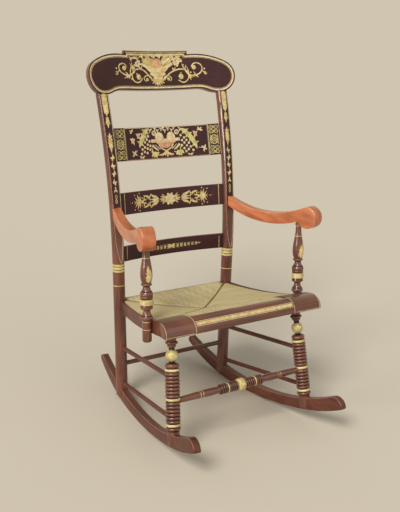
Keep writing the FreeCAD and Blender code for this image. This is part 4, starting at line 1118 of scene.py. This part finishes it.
roll = Stencil(gold, green_gold, cream, umber)
ROLL_STRIPE = 24
roll.line(gold, 4.6, (-178, ROLL_STRIPE), (0, ROLL_STRIPE), (178, ROLL_STRIPE))
roll.line(cream, 0.8, (-180, ROLL_STRIPE + 7), (0, ROLL_STRIPE + 7), (180, ROLL_STRIPE + 7))
roll.line(cream, 0.8, (-180, ROLL_STRIPE - 7), (0, ROLL_STRIPE - 7), (180, ROLL_STRIPE - 7))
for step in range(-14, 15):
    for way in (-1, 1):
        roll.leaf(umber, 1.2, (step * 12.4, ROLL_STRIPE), (step * 12.4 + 7, ROLL_STRIPE + way * 3.4))


def roll_lines(own, side):
    roll.line(cream, 0.8, *own(*[(183, along) for along in (-4, 6, 16, 26, 36, 46, 56, 61)]))
    roll.line(cream, 0.8, *own(*[(284, along) for along in (-4, 6, 16, 26, 36, 46, 56)]))
    roll.line(cream, 0.6, *own((288, -2), (240, -2), (190, -2)))


roll.both(roll_lines)
roll.lay("roll_stencil", Board(roll_board, "front_roll"))


# Stage: one pale floor out to the horizon, a high sun on the sitter's right, a weak one in front, a low one
# as from a window, and a pale sky

PAPER = tone(207, 196, 174)
KEY = {"azimuth": -62, "elevation": 44, "strength": 2.25, "angle": 22}
FILL = {"azimuth": 20, "elevation": 35, "strength": 0.4, "angle": 60}
WINDOW = {"azimuth": -84, "elevation": 10, "strength": 1.1, "angle": 14}
SKY = 0.4
FLOOR_RADIUS = 60


def set_floor():
    bpy.ops.mesh.primitive_circle_add(vertices=64, radius=FLOOR_RADIUS, fill_type="NGON",
                                      location=(0, 0, cad_box[0].z - 0.0003))
    floor = bpy.context.object
    floor.name = "floor"
    bpy.ops.object.transform_apply(location=True)
    finish = Finish("pale_floor").feed(Base_Color=PAPER, Roughness=0.95)
    finish.shader.inputs["Specular IOR Level"].default_value = 0
    floor.data.materials.append(finish.material)


def set_sun(name, azimuth, elevation, strength, angle):
    bpy.ops.object.light_add(type="SUN")
    sun = bpy.context.object
    sun.name = name
    sun.data.energy = strength
    sun.data.angle = math.radians(angle)
    around = math.radians(azimuth)
    above = math.radians(elevation)
    towards = Vector((math.sin(around) * math.cos(above), -math.cos(around) * math.cos(above),
                      math.sin(above)))
    sun.matrix_world = towards.to_track_quat("Z", "Y").to_matrix().to_4x4()


def set_sky():
    world = bpy.data.worlds.new("sky")
    bpy.context.scene.world = world
    world.use_nodes = True
    world.node_tree.nodes.clear()
    sky = Finish("sky", world.node_tree)
    seen = [sky.node("ShaderNodeLightPath", output=kind)
            for kind in ("Is Camera Ray", "Is Glossy Ray", "Is Transmission Ray")]
    shown = sky.maths("MINIMUM", seen[0] + seen[1] + seen[2], 1)
    light = sky.node("ShaderNodeBackground", {"Color": tone(250, 250, 255), "Strength": SKY})
    paper = sky.node("ShaderNodeBackground", {"Color": PAPER, "Strength": 1.0})
    mixed = sky.node("ShaderNodeMixShader", {0: shown, 1: light, 2: paper})
    sky.node("ShaderNodeOutputWorld", {"Surface": mixed})


set_floor()
set_sun("key_sun", **KEY)
set_sun("fill_sun", **FILL)
set_sun("window_sun", **WINDOW)
set_sky()
bpy.context.scene.view_settings.view_transform = "Standard"
